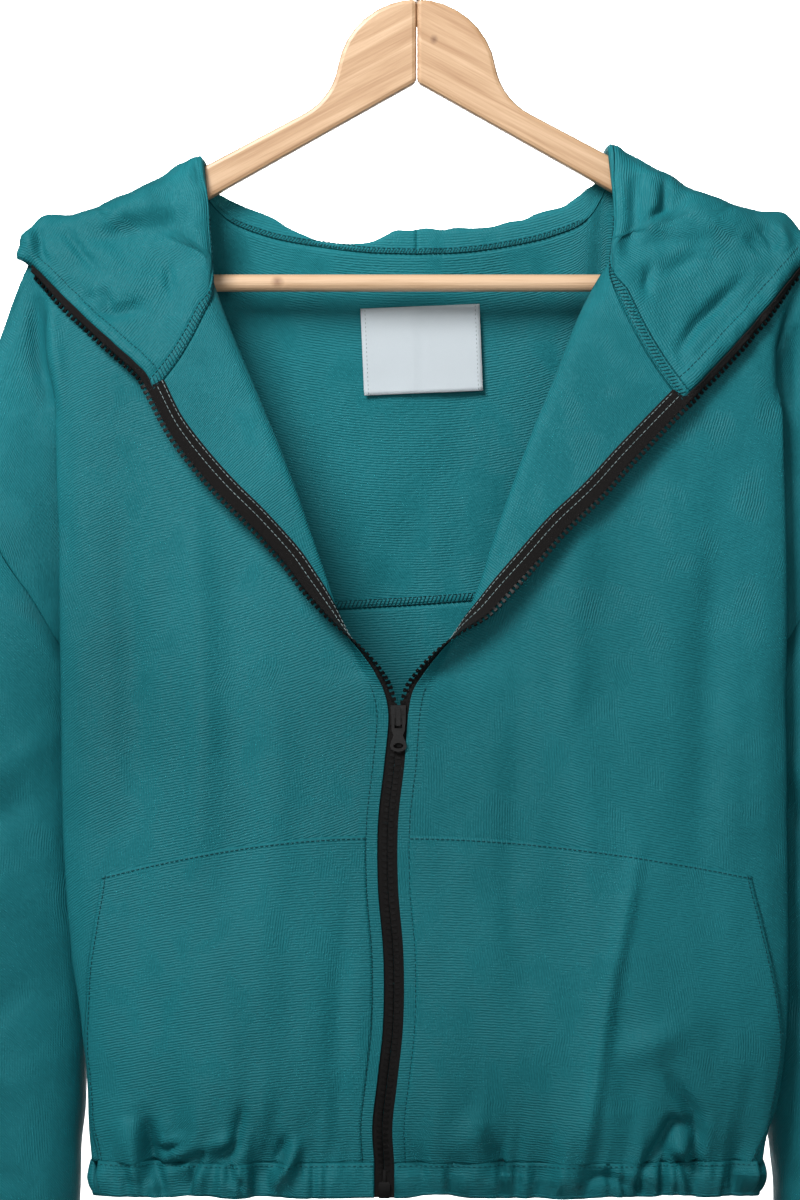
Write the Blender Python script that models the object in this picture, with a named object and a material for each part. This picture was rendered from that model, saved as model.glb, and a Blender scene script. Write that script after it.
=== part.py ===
"""An anorak that hangs open-necked on a wooden hanger, at its real size.

The origin is the point of the hook that bears on a rail. +X is the viewer's right, -Y the garment's front
and +Z up. Sizes are in millimetres: "down" is a depth below the origin, and "out" a distance from the
hanger's middle towards one side. "right" and "left" are the wearer's, so right is at -X.
A row of a front or back is named by its place: 0 at the shoulder line, 1 at the underarm, 2 at the hem seam.
"""

import math

import bmesh
import bpy
import numpy as np

# Driving sizes
MM = 0.001
WALL = 1.2
GAP = 0.3
SEAM = 0.5
SIDES = {"right": -1, "left": 1}
UNDERARM = 455
HEM_SEAM = 718
HEM = 737.5
SIDE_SHIFT = {"right": 0, "left": 6}

# Hanger
HEAD_TOP = 54
HEAD_RADIUS = 46
NOTCH = 101.8
ARM_TOP_AT_NECK = 151.1
ARM_NECK_OUT = 124
ARM_TOP_SLOPE = 0.53
ARM_LOW_SLOPES = (0.56, 0.66)
ARM_LOW_BEND = 125
ARM_CAP_OUT = 204
ARM_CAP_LENGTH = 12
ARM_THICK = 12
ARM_ROUND = 2.5
HEAD_FILLET = 38
BAR_DOWN = 216.8
BAR_RADIUS = 5
BAR_END = 206
HOOK_WIRE = 1.9
HOOK_INSIDE = 18
HOOK_STEM_TOP = 46
HOOK_DEPTH = 16

# Zip
TAPE = 1.0
TAPE_INSIDE = 9
TAPE_INSIDE_HOOD = 7
TAPE_BEYOND = 2.8
TAPE_STEPS = 4
TAPE_OFF = 1.8
ZIP_HALF = 5.7
STRIP = 11
CHAIN_HALF = 2.5
CHAIN_THICK = 2.4
SLIDER_DOWN = 464
SLIDER = (8.6, 11.0)
SLIDER_PLATE = 1.2
SLIDER_GAP = 2.6
POST = (2.2, 4.0)
BRIDGE_WIDE = 2.4
BRIDGE_REACH = 5.0
BRIDGE_BAR = 1.1
BRIDGE_CLEAR = 2.8
PULL_THICK = 1.2
PULL_LENGTH = 20.5
PULL_TOP_WIDE = 7.6
PULL_END_WIDE = 9.4
PULL_BAR = 1.6
PULL_WINDOW = (4.4, 5.6)
PULL_HOLE = (5.8, 3.2)

# Gathers
HEM_WAVES = 64
CUFF_WAVES = 16
WAVE_STEPS = 3
HEM_WAVE_HEIGHT = 1.9
CUFF_WAVE_HEIGHT = 1.6

# Label, on the inside of the yoke
LABEL_SIZE = (69, 50)
LABEL_MIDDLE = (3, 254)
LABEL_TURN = 2.4
LABEL_WALL = 1.0


def table(names, *rows):
    """A short table as a column of numbers for each name."""
    return dict(zip(names.split(), np.array(rows, float).T))


# Shoulder line beyond the hanger's arm
SHOULDER_END = table(
    "out down",
    (205, 192.7),
    (208, 193),
    (212, 194.2),
    (218, 198.5),
    (224, 209),
    (231, 226),
    (240, 251),
    (263, 312),
)
NECK_POINT = {"right": 124.6, "left": 112}

# Armhole and side seam, where fronts and backs end
SIDE = table(
    "row out front_y back_y",
    (0, 263, -0.2, 0.2),
    (0.0002, 263, -3.8, 3.8),
    (0.0037, 263, -6.4, 6.4),
    (0.013, 263, -7.6, 7.6),
    (0.035, 262.5, -8.8, 9),
    (0.07, 261, -11, 12),
    (0.165, 257, -14, 19),
    (0.33, 250, -17, 25),
    (0.5, 243, -19, 29),
    (0.627, 236, -20, 31),
    (0.8745, 206, -14, 26),
    (1, 184, 7.4, 8.6),
    (1.25, 179, 7.4, 8.6),
    (1.78, 178, 7.4, 8.6),
    (2, 177, 3.4, 4.6),
)

# Front and back panels: the fold beside the sleeve, and the depths
PANEL = table(
    "row valley valley_y ridge_right ridge_left ridge_y front_y back_y",
    (0, 226, -0.2, 204, 204, -0.2, -0.2, 0.2),
    (0.0002, 226, -3.8, 204, 204, -3.8, -3.8, 3.8),
    (0.0037, 226, -6.4, 204, 204, -6.4, -6.4, 6.4),
    (0.013, 226, -7.6, 204, 204, -7.6, -7.6, 7.6),
    (0.035, 226, -8.6, 204, 204, -8.6, -8.6, 8.8),
    (0.07, 224, -10.8, 205, 205, -11, -10.5, 11),
    (0.165, 214, -13, 206, 208, -17, -17, 16),
    (0.33, 203, -14, 206, 209, -23, -27, 23),
    (0.5, 196, -14, 205, 209, -26, -34, 29),
    (0.82, 187, -13, 203, 209, -29, -42, 36),
    (1, 182, -10, 202, 209, -30, -45, 39),
    (1.25, 181, -9, 201, 210, -31, -47, 42),
    (1.5, 181, -9, 197, 210, -31, -49, 44),
    (1.65, 181, -9, 192, 209.5, -31, -50, 45),
    (1.78, 181, -10, 188.5, 207, -31, -50, 45),
    (1.9, 180, -13, 186, 202, -30, -48, 44),
    (2, 180, -14, 185, 193, -27, -43, 40),
)
FRONT_EASE = 45
BACK_ROUNDING = 6

# Lapel strip: its start, its width to the sewn edge, how low that edge hangs and how far it turns over
LAPEL = {
    "right": table(
        "down start width edge_down turn",
        (150.1, 124.6, 12, 152, 178),
        (178, 123, 30, 240, 178),
        (206, 121, 41, 281, 178),
        (243, 107.5, 41, 305.5, 178),
        (284, 91, 41.5, 327, 177),
        (316, 78, 36, 345.6, 174),
        (368, 59, 20, 379, 165),
        (406, 46.5, 14, 408.6, 120),
        (422, 41, 12.5, 422, 84),
        (438, 34, 11.5, 438, 42),
        (452, 29, 11, 452, 8),
        (458, 27, 11, 458, 0),
    ),
    "left": table(
        "down start width edge_down turn",
        (143.4, 112, 12, 146, 178),
        (170, 116, 34, 240, 178),
        (196, 115, 48, 287, 178),
        (213, 103, 51, 297, 178),
        (243, 92, 47, 311, 178),
        (279, 76, 46, 330.6, 177),
        (318, 62.4, 39, 351, 175),
        (348, 51, 30, 370.6, 172),
        (398, 34, 14, 406.7, 130),
        (418, 25, 12.5, 420, 88),
        (436, 16, 11.5, 436, 44),
        (452, 8, 11, 452, 8),
        (458, 6.5, 11, 458, 0),
    ),
}
LAPEL_TOP = {"right": 206, "left": 196}
LAPEL_BOW = 9
FOLD_LENGTH = 12.6

# Line of the closed zip
ZIP_LINE = table(
    "down x",
    (458, -10.2),
    (483, -11.9),
    (529, -16.4),
    (568, -16.4),
    (601, -13.3),
    (644, -13.6),
    (687, -18.9),
    (704, -19.8),
    (737, -15.3),
)

# Largest folds of the fronts, as troughs below 0 and ridges above it
FOLDS = (
    ("right", dict(top=(150, 610), low=(146, 718), half_width=17, height=-5)),
    ("right", dict(top=(96, 560), low=(112, 718), half_width=20, height=3)),
    ("right", dict(top=(37, 560), low=(43, 718), half_width=14, height=-3)),
    ("right", dict(top=(165, 380), low=(150, 610), half_width=24, height=-3)),
    ("left", dict(top=(119, 540), low=(95, 718), half_width=20, height=4)),
    ("left", dict(top=(146, 660), low=(138, 718), half_width=16, height=-5)),
    ("left", dict(top=(45, 650), low=(24, 718), half_width=15, height=-3)),
    ("left", dict(top=(170, 380), low=(160, 600), half_width=24, height=-3)),
)
FOLD_FADE = 50

# Sleeve rings from the armhole down: the end by the body, the outer end, and the depths
SLEEVE = table(
    "inner inner_down outer outer_down front_y back_y",
    (187, 460, 279, 350, -24, 36),
    (189.5, 468, 292, 400, -25, 39),
    (191, 484, 300, 460, -26, 41),
    (191, 540, 304, 535, -26, 41),
    (192, 620, 304, 620, -25, 41),
    (193, 700, 301, 704, -24, 40),
    (195, 752, 296, 758, -22, 38),
    (203, 786, 284, 790, -14, 31),
)
SLEEVE_SQUARE = 0.85
SLEEVE_STEPS = 20
ARMHOLE_GAP = 2.8
CUFF = table("inner outer front_y back_y down", (206, 281, -12, 29, 791.5), (207, 280, -11, 28, 815))

# Hood: over the shoulder, down behind the back to the fold, and up again to the rim
HOOD = table(
    "place roll over roll_y fold fold_down rim rim_down",
    (0, 228, 14, -14, 219, 232, 214, 212),
    (0.04, 224, 19, -8, 214, 240, 210, 210),
    (0.09, 215, 18, -2, 204, 256, 202, 208),
    (0.14, 200, 13, 0, 194, 270, 196, 211),
    (0.28, 176, 7.5, 0, 164, 308, 166, 223),
    (0.4, 159, 6.6, 1, 138, 340, 140, 237),
    (0.53, 143, 6.5, 2, 108, 366, 110, 248),
    (0.62, 133, 6.5, 4, 86, 382, 88, 254),
    (0.8, 60, 6, 20, 48, 398, 50, 262),
    (1, 0, 6, 24, 0, 408, 0, 268),
)
HOOD_RISE = table(
    "place rise turn follow", (0, 4, 4, 0), (0.3, 4, 4, 0), (0.54, 4, 3, 1), (0.7, 8, 3, 1), (1, 13, 4, 0)
)
HOOD_CLIMB = 6
HOOD_STEPS = (3, 3, 4, 4, 3)
HOOD_OFF = 7
POUCH = (7, 12, 12, -4)
HOOD_CORNER = 12.5
ARM_CLEAR = 7.5
HOOD_OVER = 3
BEHIND_ARM = 0.035
NECK_COLUMNS = 5
BACK_NECK = table("out down", (0, 199), (30, 198), (59, 194.5), (88, 188.5), (110, 179))
YOKE_ROW = 0.8
YOKE_TILT = 0.0002

# Pockets: their top seam, and the slanting mouth beside the side fold
POCKET = table(
    "down mouth_from_ridge", (532, 26), (553, 24), (585, 17), (625, 8), (660, 3), (690, 3), (717, 6)
)
POCKET_SLOPE = 0.11
POCKET_STEPS = (8, 9)
POCKET_PUFF = 2.0
POCKET_OFF = 1.6


def read(columns, name, at, along=None):
    """A column of a table at a place along its first one, by a smooth curve that never overshoots."""
    x = columns[along or next(iter(columns))]
    y = columns[name]
    step = np.diff(x)
    slope = np.diff(y) / step
    grade = np.zeros_like(y)
    grade[0] = slope[0]
    grade[-1] = slope[-1]
    for i in range(1, len(x) - 1):
        if slope[i - 1] * slope[i] > 0:
            before = 2 * step[i] + step[i - 1]
            after = step[i] + 2 * step[i - 1]
            grade[i] = (before + after) / (before / slope[i - 1] + after / slope[i])
    at = np.clip(at, x[0], x[-1])
    i = np.clip(np.searchsorted(x, at, side="right") - 1, 0, len(step) - 1)
    t = (at - x[i]) / step[i]
    start = (1 + 2 * t) * (1 - t) ** 2 * y[i] + t * (1 - t) ** 2 * step[i] * grade[i]
    return start + t * t * (3 - 2 * t) * y[i + 1] + t * t * (t - 1) * step[i] * grade[i + 1]


def unit(v):
    return v / np.linalg.norm(v)


def curve(keys, steps):
    """Points on a smooth curve through the keys, with so many steps in each span."""
    keys = [np.array(k, float) for k in keys]
    ends = [2 * keys[0] - keys[1], *keys, 2 * keys[-1] - keys[-2]]
    points = [keys[0]]
    for a, b, c, d, count in zip(ends, ends[1:], ends[2:], ends[3:], steps):
        gaps = [math.sqrt(np.linalg.norm(q - p)) + 1e-6 for p, q in ((a, b), (b, c), (c, d))]
        leave = (b - a) / gaps[0] - (c - a) / (gaps[0] + gaps[1]) + (c - b) / gaps[1]
        reach = (c - b) / gaps[1] - (d - b) / (gaps[1] + gaps[2]) + (d - c) / gaps[2]
        for i in range(1, count + 1):
            t = i / count
            share = t * t * (3 - 2 * t)
            bend = t * (1 - t) * gaps[1] * ((1 - t) * leave - t * reach)
            points.append((1 - share) * b + share * c + bend)
    return np.array(points)


def resample(points, places):
    """Points at the given shares of a line's length."""
    run = np.concatenate([[0], np.cumsum(np.linalg.norm(np.diff(points, axis=0), axis=1))])
    at = np.asarray(places) * run[-1]
    return np.stack([np.interp(at, run, points[:, k]) for k in range(3)], axis=1)


def material(name, color, roughness, metallic=0.0):
    m = bpy.data.materials.new(name)
    m.use_nodes = True
    shader = m.node_tree.nodes["Principled BSDF"]
    shader.inputs["Base Color"].default_value = (*color, 1)
    shader.inputs["Roughness"].default_value = roughness
    shader.inputs["Metallic"].default_value = metallic
    return m


def mesh_object(name, vertices, faces, finish):
    mesh = bpy.data.meshes.new(name)
    mesh.from_pydata([tuple(c * MM for c in v) for v in vertices], [], faces)
    mesh.materials.append(finish)
    mesh.shade_smooth()
    o = bpy.data.objects.new(name, mesh)
    bpy.context.scene.collection.objects.link(o)
    return o


def cloth(name, grid, finish, wall=WALL, ring=False):
    """A wall of cloth whose middle runs through a grid of points; a point that isn't there is left out."""
    rows, columns = grid.shape[:2]
    there = ~np.isnan(grid[..., 0])
    number = np.cumsum(there).reshape(rows, columns) - 1
    faces = []
    for i in range(rows - 1):
        for j in range(columns if ring else columns - 1):
            k = (j + 1) % columns
            if there[i, j] and there[i, k] and there[i + 1, j] and there[i + 1, k]:
                faces.append([int(number[c]) for c in ((i, j), (i, k), (i + 1, k), (i + 1, j))])
    o = mesh_object(name, grid[there], faces, finish)
    solid = o.modifiers.new("wall", "SOLIDIFY")
    solid.thickness = wall * MM
    solid.offset = 0
    solid.use_quality_normals = True
    return o


def box(bm, low, high):
    """A box between two corners, added to a mesh under construction."""
    made = bmesh.ops.create_cube(bm, size=1)["verts"]
    low, high = np.array(low), np.array(high)
    for v in made:
        v.co = [float(c) * MM for c in (low + high) / 2 + np.array(v.co) * (high - low)]


def from_bmesh(name, bm, finish):
    mesh = bpy.data.meshes.new(name)
    bm.to_mesh(mesh)
    bm.free()
    mesh.materials.append(finish)
    o = bpy.data.objects.new(name, mesh)
    bpy.context.scene.collection.objects.link(o)
    return o


def combine(o, other, operation):
    """Joins or cuts an object with another, which is left as a hidden guide."""
    other.hide_render = True
    other.display_type = "WIRE"
    m = o.modifiers.new(operation.lower(), "BOOLEAN")
    m.operation = operation
    m.object = other


def extrude(name, outline, low, high, finish):
    """A plate whose outline, in X and Z, runs from one Y to another."""
    count = len(outline)
    vertices = [(x, y, z) for y in (low, high) for x, z in outline]
    sides = [[i, (i + 1) % count, (i + 1) % count + count, i + count] for i in range(count)]
    faces = [list(range(count))[::-1], list(range(count, 2 * count)), *sides]
    o = mesh_object(name, vertices, faces, finish)
    bm = bmesh.new()
    bm.from_mesh(o.data)
    bmesh.ops.recalc_face_normals(bm, faces=bm.faces)
    bm.to_mesh(o.data)
    bm.free()
    o.data.set_sharp_from_angle(angle=math.radians(35))
    return o


def tube(name, points, radius, finish):
    spline_data = bpy.data.curves.new(name, "CURVE")
    spline_data.dimensions = "3D"
    spline_data.bevel_depth = radius * MM
    spline_data.bevel_resolution = 2
    spline_data.use_fill_caps = True
    line = spline_data.splines.new("POLY")
    line.points.add(len(points) - 1)
    for p, at in zip(line.points, points):
        p.co = (*(c * MM for c in at), 1)
    spline_data.materials.append(finish)
    o = bpy.data.objects.new(name, spline_data)
    bpy.context.scene.collection.objects.link(o)
    return o


# Places on the garment


def arm_top(out):
    return ARM_TOP_AT_NECK + ARM_TOP_SLOPE * (out - ARM_NECK_OUT)


def shoulder(side, out):
    """Depth of the shoulder line; towards the neck it stays at the neck point's."""
    out = np.maximum(out, NECK_POINT[side])
    on_arm = arm_top(out) - WALL / 2 - 0.7
    return np.where(out < SHOULDER_END["out"][0], on_arm, read(SHOULDER_END, "down", out))


def row_down(side, out, row):
    """Depth of a row at a distance out."""
    if row <= 1:
        return (1 - row) * shoulder(side, out) + row * UNDERARM
    return np.full_like(np.asarray(out, float), UNDERARM + (row - 1) * (HEM_SEAM - UNDERARM))


def row_at(side, out, down):
    """The row that passes a place."""
    top = shoulder(side, out)
    upper = (down - top) / (UNDERARM - top)
    return np.where(down < UNDERARM, upper, 1 + (down - UNDERARM) / (HEM_SEAM - UNDERARM))


def front_y(side, out, down):
    return read(PANEL, "front_y", row_at(side, out, down))


def back_y(side, out, down):
    return read(PANEL, "back_y", row_at(side, out, down))


def drape(side, out, down):
    """How far the large folds lift a front out of its plain form."""
    lift = 0.0
    for fold_side, fold in FOLDS:
        if fold_side != side:
            continue
        (x0, d0), (x1, d1) = fold["top"], fold["low"]
        along = (down - d0) / (d1 - d0)
        fade = np.clip((down - d0) / FOLD_FADE, 0, 1) * np.clip((d1 + FOLD_FADE - down) / FOLD_FADE, 0, 1)
        across = (out - (x0 + along * (x1 - x0))) / fold["half_width"]
        lift = lift + fold["height"] * fade * np.exp(-across * across)
    return lift


def zip_out(side, down):
    """Distance out of the closed zip's line, which may be below 0."""
    return SIDES[side] * read(ZIP_LINE, "x", down)


def strip_at(side, row):
    """The lapel strip of a row: its start, width, edge depth and turn."""
    down = float(row_down(side, 0, row))
    lapel = LAPEL[side]
    if down > lapel["down"][-1]:
        return zip_out(side, down) + ZIP_HALF + STRIP, STRIP, down, 0.0
    values = [float(read(lapel, name, down)) for name in ("start", "width", "edge_down", "turn")]
    return values[0], values[1], values[2], math.radians(values[3])


def front_row(side, row, spans=(2, 3, 3, 3, 3), strip_steps=8):
    """Points of a front's row from its side to the lapel's start, then over the fold to the zip."""
    ridge = read(PANEL, "ridge_" + side, row)
    y = read(PANEL, "front_y", row)
    start, width, edge_down, turn = strip_at(side, row)
    turn = max(turn, 0.001)
    shift = SIDE_SHIFT[side]
    ease = ridge - FRONT_EASE
    keys = [
        (read(SIDE, "out", row) + shift, read(SIDE, "front_y", row)),
        (read(PANEL, "valley", row) + shift, read(PANEL, "valley_y", row)),
        (ridge, read(PANEL, "ridge_y", row)),
        (ease, y + 0.12 * (read(PANEL, "ridge_y", row) - y)),
        ((ease + start) / 2, y),
        (start, y),
    ]
    flat = curve(keys, spans)
    out = flat[:, 0]
    down = row_down(side, out, row)
    in_front = np.clip((ridge - 12 - out) / 20, 0, 1) * (np.arange(len(out)) >= spans[0] + spans[1])
    depth = flat[:, 1] - in_front * np.clip(row * 4, 0, 1) * drape(side, out, down)
    points = [(SIDES[side] * o, d, -z) for o, d, z in zip(out, depth, down)]
    edge_y, start_down = depth[-1], float(down[-1])
    bend = min(0.35 * width, FOLD_LENGTH)
    bend_steps = strip_steps // 2
    places = [*np.linspace(0, bend, bend_steps + 1)[1:], *np.linspace(bend, width, bend_steps + 1)[1:]]
    low_end = math.exp(-(((start_down - LAPEL_TOP[side]) / 25) ** 2))
    for along in places:
        on_bend = min(along, bend)
        angle = turn * on_bend / bend
        radius = bend / turn
        inward = radius * math.sin(angle) + (along - on_bend) * math.cos(turn)
        forward = radius * (1 - math.cos(angle)) + (along - on_bend) * math.sin(turn)
        share = along / width
        bow = LAPEL_BOW * math.sin(math.pi * share) * low_end
        drop = start_down + (edge_down - start_down) * share + bow
        follow = front_y(side, start - inward, drop) - front_y(side, start, start_down) if turn > 1 else 0.0
        points.append((SIDES[side] * (start - inward), edge_y - forward + float(follow), -drop))
    return np.array(points)


def rows_of_front(side):
    top = float(shoulder(side, 0))
    neck = (LAPEL_TOP[side] - top) / (UNDERARM - top)
    upper = [0, 0.0002, 0.0037, 0.013, 0.045, 0.11, neck]
    middle = [*np.linspace(neck, 0.7, 6)[1:], 0.76, 0.82, 0.87, 0.91, 0.95, 0.985]
    lower = [1.03, 1.14, 1.26, 1.4, 1.55, 1.7, 1.82, 1.92, 2 - SEAM / (HEM_SEAM - UNDERARM)]
    return upper + middle + lower, len(upper) - 1


def front_grid(side):
    rows, neck = rows_of_front(side)
    grid = np.array([front_row(side, r) for r in rows])
    plain = grid.shape[1] - 8
    grid[:neck, plain:] = np.nan
    return grid, neck, plain - 1


def back_at(side, out, row):
    """A place on the back, whose rows start at the shoulder line or at the neck edge."""
    if out >= NECK_POINT[side] - 0.5 or row > 1:
        down = float(row_down(side, out, row))
    else:
        share = (row - BEHIND_ARM) / (1 - BEHIND_ARM)
        down = (1 - share) * neck_down(side, out) + share * UNDERARM
    level = float(row_at(side, out, down))
    y = float(read(PANEL, "back_y", level))
    side_y = float(read(SIDE, "back_y", level))
    side_out = float(read(SIDE, "out", row)) + SIDE_SHIFT[side]
    return np.array((SIDES[side] * out, y - (y - side_y) * min(out / side_out, 1) ** BACK_ROUNDING, -down))


def neck_down(side, out):
    """Depth of the back's neck edge, which starts behind the arm."""
    wide = NECK_POINT[side] / NECK_POINT["right"]
    behind = float(row_down(side, NECK_POINT[side], BEHIND_ARM))
    outs = np.append(BACK_NECK["out"] * wide, NECK_POINT[side])
    return float(np.interp(out, outs, np.append(BACK_NECK["down"], behind)))


def back_outs(side):
    """Distances out of a back's points at the shoulder line, from the side to the middle."""
    neck = NECK_POINT[side]
    whole = float(SIDE["out"][0]) + SIDE_SHIFT[side]
    inner = [neck * share for share in (1, 0.88, 0.7, 0.47, 0.24, 0)]
    return np.array([whole, 244, 226, 217, 211, 205, 177, 150, *inner])


def back_grid(rows, tilt):
    """Rows of points across the back, with the places above the neck edge left out."""
    lines = []
    for row in rows:
        halves = {}
        for side in SIDES:
            outs = back_outs(side)
            points = []
            for out in outs:
                missing = row < BEHIND_ARM and out < NECK_POINT[side]
                tilted = row - tilt(row) * SIDES[side] * out
                narrow = (float(read(SIDE, "out", tilted)) + SIDE_SHIFT[side]) / outs[0]
                there = back_at(side, out * (narrow if row > BEHIND_ARM else 1), tilted)
                points.append(np.full(3, np.nan) if missing else there)
            halves[side] = points
        lines.append(halves["right"] + halves["left"][-2::-1])
    return np.array(lines)


def yoke_rows():
    return [0, 0.0002, 0.0037, 0.013, BEHIND_ARM, 0.11, 0.24, 0.4, 0.6, YOKE_ROW - SEAM / 600]


def yoke_tilt(row):
    """Slant of a back's row, which is largest at the yoke seam."""
    if row <= YOKE_ROW:
        return YOKE_TILT * (row / YOKE_ROW) ** 3
    return YOKE_TILT * max(1.4 - row, 0) / (1.4 - YOKE_ROW)


# Pieces of the garment


def build_fronts(finish):
    grids = {}
    for side in SIDES:
        grid, neck, start = front_grid(side)
        cloth("front_" + side, grid, finish)
        grids[side] = (grid, neck, start)
    return grids


def build_backs(finish):
    yoke = back_grid(yoke_rows(), yoke_tilt)
    cloth("back_yoke", yoke, finish)
    low = [YOKE_ROW + SEAM / 600, 0.9, 1, 1.12, 1.3, 1.5, 1.7, 1.85, 2 - SEAM / (HEM_SEAM - UNDERARM)]
    cloth("back_body", back_grid(low, yoke_tilt), finish)
    return yoke


def armhole(side):
    """The armhole's edge, from the shoulder along the front to the underarm and back up behind."""
    rows = np.concatenate([[0, 0.0002, 0.0037, 0.013], np.linspace(0.035, 1, 40)])
    halves = []
    for column in ("front_y", "back_y"):
        out = read(SIDE, "out", rows) + SIDE_SHIFT[side]
        down = np.array([float(row_down(side, o, r)) for o, r in zip(out, rows)])
        line = np.stack([SIDES[side] * out, read(SIDE, column, rows), -down], axis=1)
        halves.append(resample(line, np.linspace(0, 1, SLEEVE_STEPS // 2 + 1)))
    front, back = halves
    return np.concatenate([front[:-1], back[:0:-1]])


def sleeve_ring(side, inner, outer, front, back, steps=SLEEVE_STEPS, wave=0.0):
    """A flattened ring between two ends, given as (out, down), that starts at its outer end."""
    shift = SIDE_SHIFT[side]
    points = []
    for k in range(steps):
        angle = 2 * math.pi * k / steps
        across = (1 + math.cos(angle)) / 2
        swell = abs(math.sin(angle)) ** SLEEVE_SQUARE * math.copysign(1, math.sin(angle))
        ripple = wave * math.sin(2 * math.pi * k / WAVE_STEPS)
        half = (back - front) / 2 + ripple
        out = inner[0] + across * (outer[0] - inner[0]) + ripple * math.cos(angle)
        down = inner[1] + across * (outer[1] - inner[1])
        points.append((SIDES[side] * (out + shift), (front + back) / 2 - half * swell, -down))
    return np.array(points)


def build_sleeves(finish):
    for side in SIDES:
        rings = []
        for k in range(len(SLEEVE["inner"])):
            inner = (SLEEVE["inner"][k], SLEEVE["inner_down"][k])
            outer = (SLEEVE["outer"][k], SLEEVE["outer_down"][k])
            rings.append(sleeve_ring(side, inner, outer, SLEEVE["front_y"][k], SLEEVE["back_y"][k]))
        first = armhole(side)
        leave = rings[0] - first
        first = first + leave / np.linalg.norm(leave, axis=1)[:, None] * SEAM
        first[:, 0] += SIDES[side] * ARMHOLE_GAP
        cloth("sleeve_" + side, np.array([first, *rings]), finish, ring=True)

        count = CUFF_WAVES * WAVE_STEPS
        band = []
        for k in range(len(CUFF["down"])):
            ends = [(CUFF[name][k], CUFF["down"][k]) for name in ("inner", "outer")]
            depths = (CUFF["front_y"][k], CUFF["back_y"][k])
            band.append(sleeve_ring(side, *ends, *depths, count, CUFF_WAVE_HEIGHT))
        cloth("cuff_" + side, np.array(band), finish, ring=True)


def neck_seam(side, front, yoke):
    """Points along the neck seam from the zip to the back's middle, and how the hood leaves each of them.

    Each is (place, way out of the panel, share of the turn already made, and the turn as its middle,
    the way out, the outer side and the way along the seam that it climbs).
    """
    grid, neck, start = front
    outer = -SIDES[side]
    seam = []
    fold = None
    for i in [*range(neck, 3, -1), 2, 0]:
        edge = unit(grid[i, start] - grid[i, start - 1])
        along = unit(grid[max(i - 1, 0), start] - grid[max(i - 1, 0) + 1, start])
        climb = along * max(1 - 0.5 * (neck - i), 0)
        turn = (grid[i, start], edge, unit(np.cross(edge, along)) * outer, climb)
        leave = edge if fold else unit(edge + 2 * along)
        fold = fold or turn
        seam.append((grid[i, start], leave, 0, turn))
    arc = (grid.shape[1] - 1 - start) // 2
    for j in range(start + 1, grid.shape[1]):
        up = unit(grid[neck, j] - grid[neck + 1, j])
        seam.insert(0, (grid[neck, j], up, min((j - start) / arc, 1), fold))
    middle = yoke.shape[1] // 2
    step = SIDES[side]
    at_neck = middle + step * NECK_COLUMNS
    top = yoke_rows().index(BEHIND_ARM)
    for i in (2, top):
        point = yoke[i, at_neck]
        edge = unit(point - yoke[i, at_neck + step])
        along = unit(yoke[i + 1, at_neck] - point)
        seam.append((point, edge, 0, (point, edge, unit(np.cross(edge, along)) * outer, along * 0)))
    for j in range(at_neck - step, middle - step, -step):
        point = yoke[top, j]
        up = unit(point - yoke[top + 1, j])
        seam.append((point, up, 0, (point, up, np.array((0.0, 1, 0)), up * 0)))
    return seam


def hood_line(side, place, point, leave, turned, turn_at):
    """Keys of one line of the hood from the neck seam to the rim, as stages that share their ends.

    The stages are the turn at the seam, the way up to the shoulder, the roll over it, the way down to the
    pouch's fold, and the way up to the rim.
    """
    sign = SIDES[side]
    rise = float(read(HOOD_RISE, "rise", place))
    radius = float(read(HOOD_RISE, "turn", place))
    middle, edge, normal, along = turn_at
    turn = [point + leave * SEAM * (9 if 0 < turned < 1 or along.any() else 2)]
    for share in (0.5, 1):
        if turned < 1:
            angle = math.pi * (turned + (1 - turned) * share)
            bent = edge * rise * math.sin(angle) + normal * radius * (1 - math.cos(angle))
            turn.append(middle + bent + along * HOOD_CLIMB * (1 - turned) * share)
        else:
            turn.append(point + leave * HOOD_CLIMB * 2 * share)
    end = turn[-1]
    roll, over_by, roll_y, fold, fold_down, rim, rim_down = (
        float(read(HOOD, name, place)) for name in list(HOOD)[1:]
    )
    roll += (NECK_POINT[side] - NECK_POINT["right"]) * float(read(HOOD_RISE, "follow", place))
    roll_down = float(shoulder(side, roll)) - over_by
    top = np.array((sign * roll, roll_y, -roll_down))

    def corner(out, y):
        down = max(float(shoulder(side, out)) - HOOD_OVER, roll_down + HOOD_OVER)
        return np.array((sign * out, y, -down))

    if point[1] < -ARM_CLEAR:
        out = (sign * end[0] + roll) / 2
        down = (-end[2] + roll_down) / 2
        half_way = np.array((sign * out, float(front_y(side, out, down)) - HOOD_OFF, -down))
        reach = [end, half_way, corner(0.97 * roll, -HOOD_CORNER)]
        over = [reach[-1], top, corner(0.98 * roll, HOOD_CORNER)]
    elif end[1] < ARM_CLEAR:
        reach = [end, (end + top) / 2]
        over = [reach[-1], top, corner(0.98 * roll, HOOD_CORNER)]
    elif point[1] < ARM_CLEAR:
        over = [corner(0.97 * roll, HOOD_CORNER) + np.array((0, 2.5, -4))]
        reach = [end, (end + over[0]) / 2]
        over.insert(0, reach[-1])
    else:
        reach = [end, end + np.array((0, 1, -5))]
        over = [reach[-1], end + np.array((0, 3, -16))]
    begin = over[-1]

    def behind(share, off):
        out = (1 - share) * sign * begin[0] + share * fold
        down = (1 - share) * -begin[2] + share * fold_down
        return np.array((sign * out, float(back_y(side, out, down)) + off, -down))

    down_back = [begin, behind(0.35, POUCH[0]), behind(0.7, POUCH[0]), behind(1, POUCH[1])]
    half_way = np.array((sign * (fold + rim) / 2, down_back[-1][1] + POUCH[2], -(fold_down + rim_down) / 2))
    up_again = [down_back[-1], half_way, np.array((sign * rim, half_way[1] + POUCH[3], -rim_down))]
    return turn, reach, over, down_back, up_again


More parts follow.
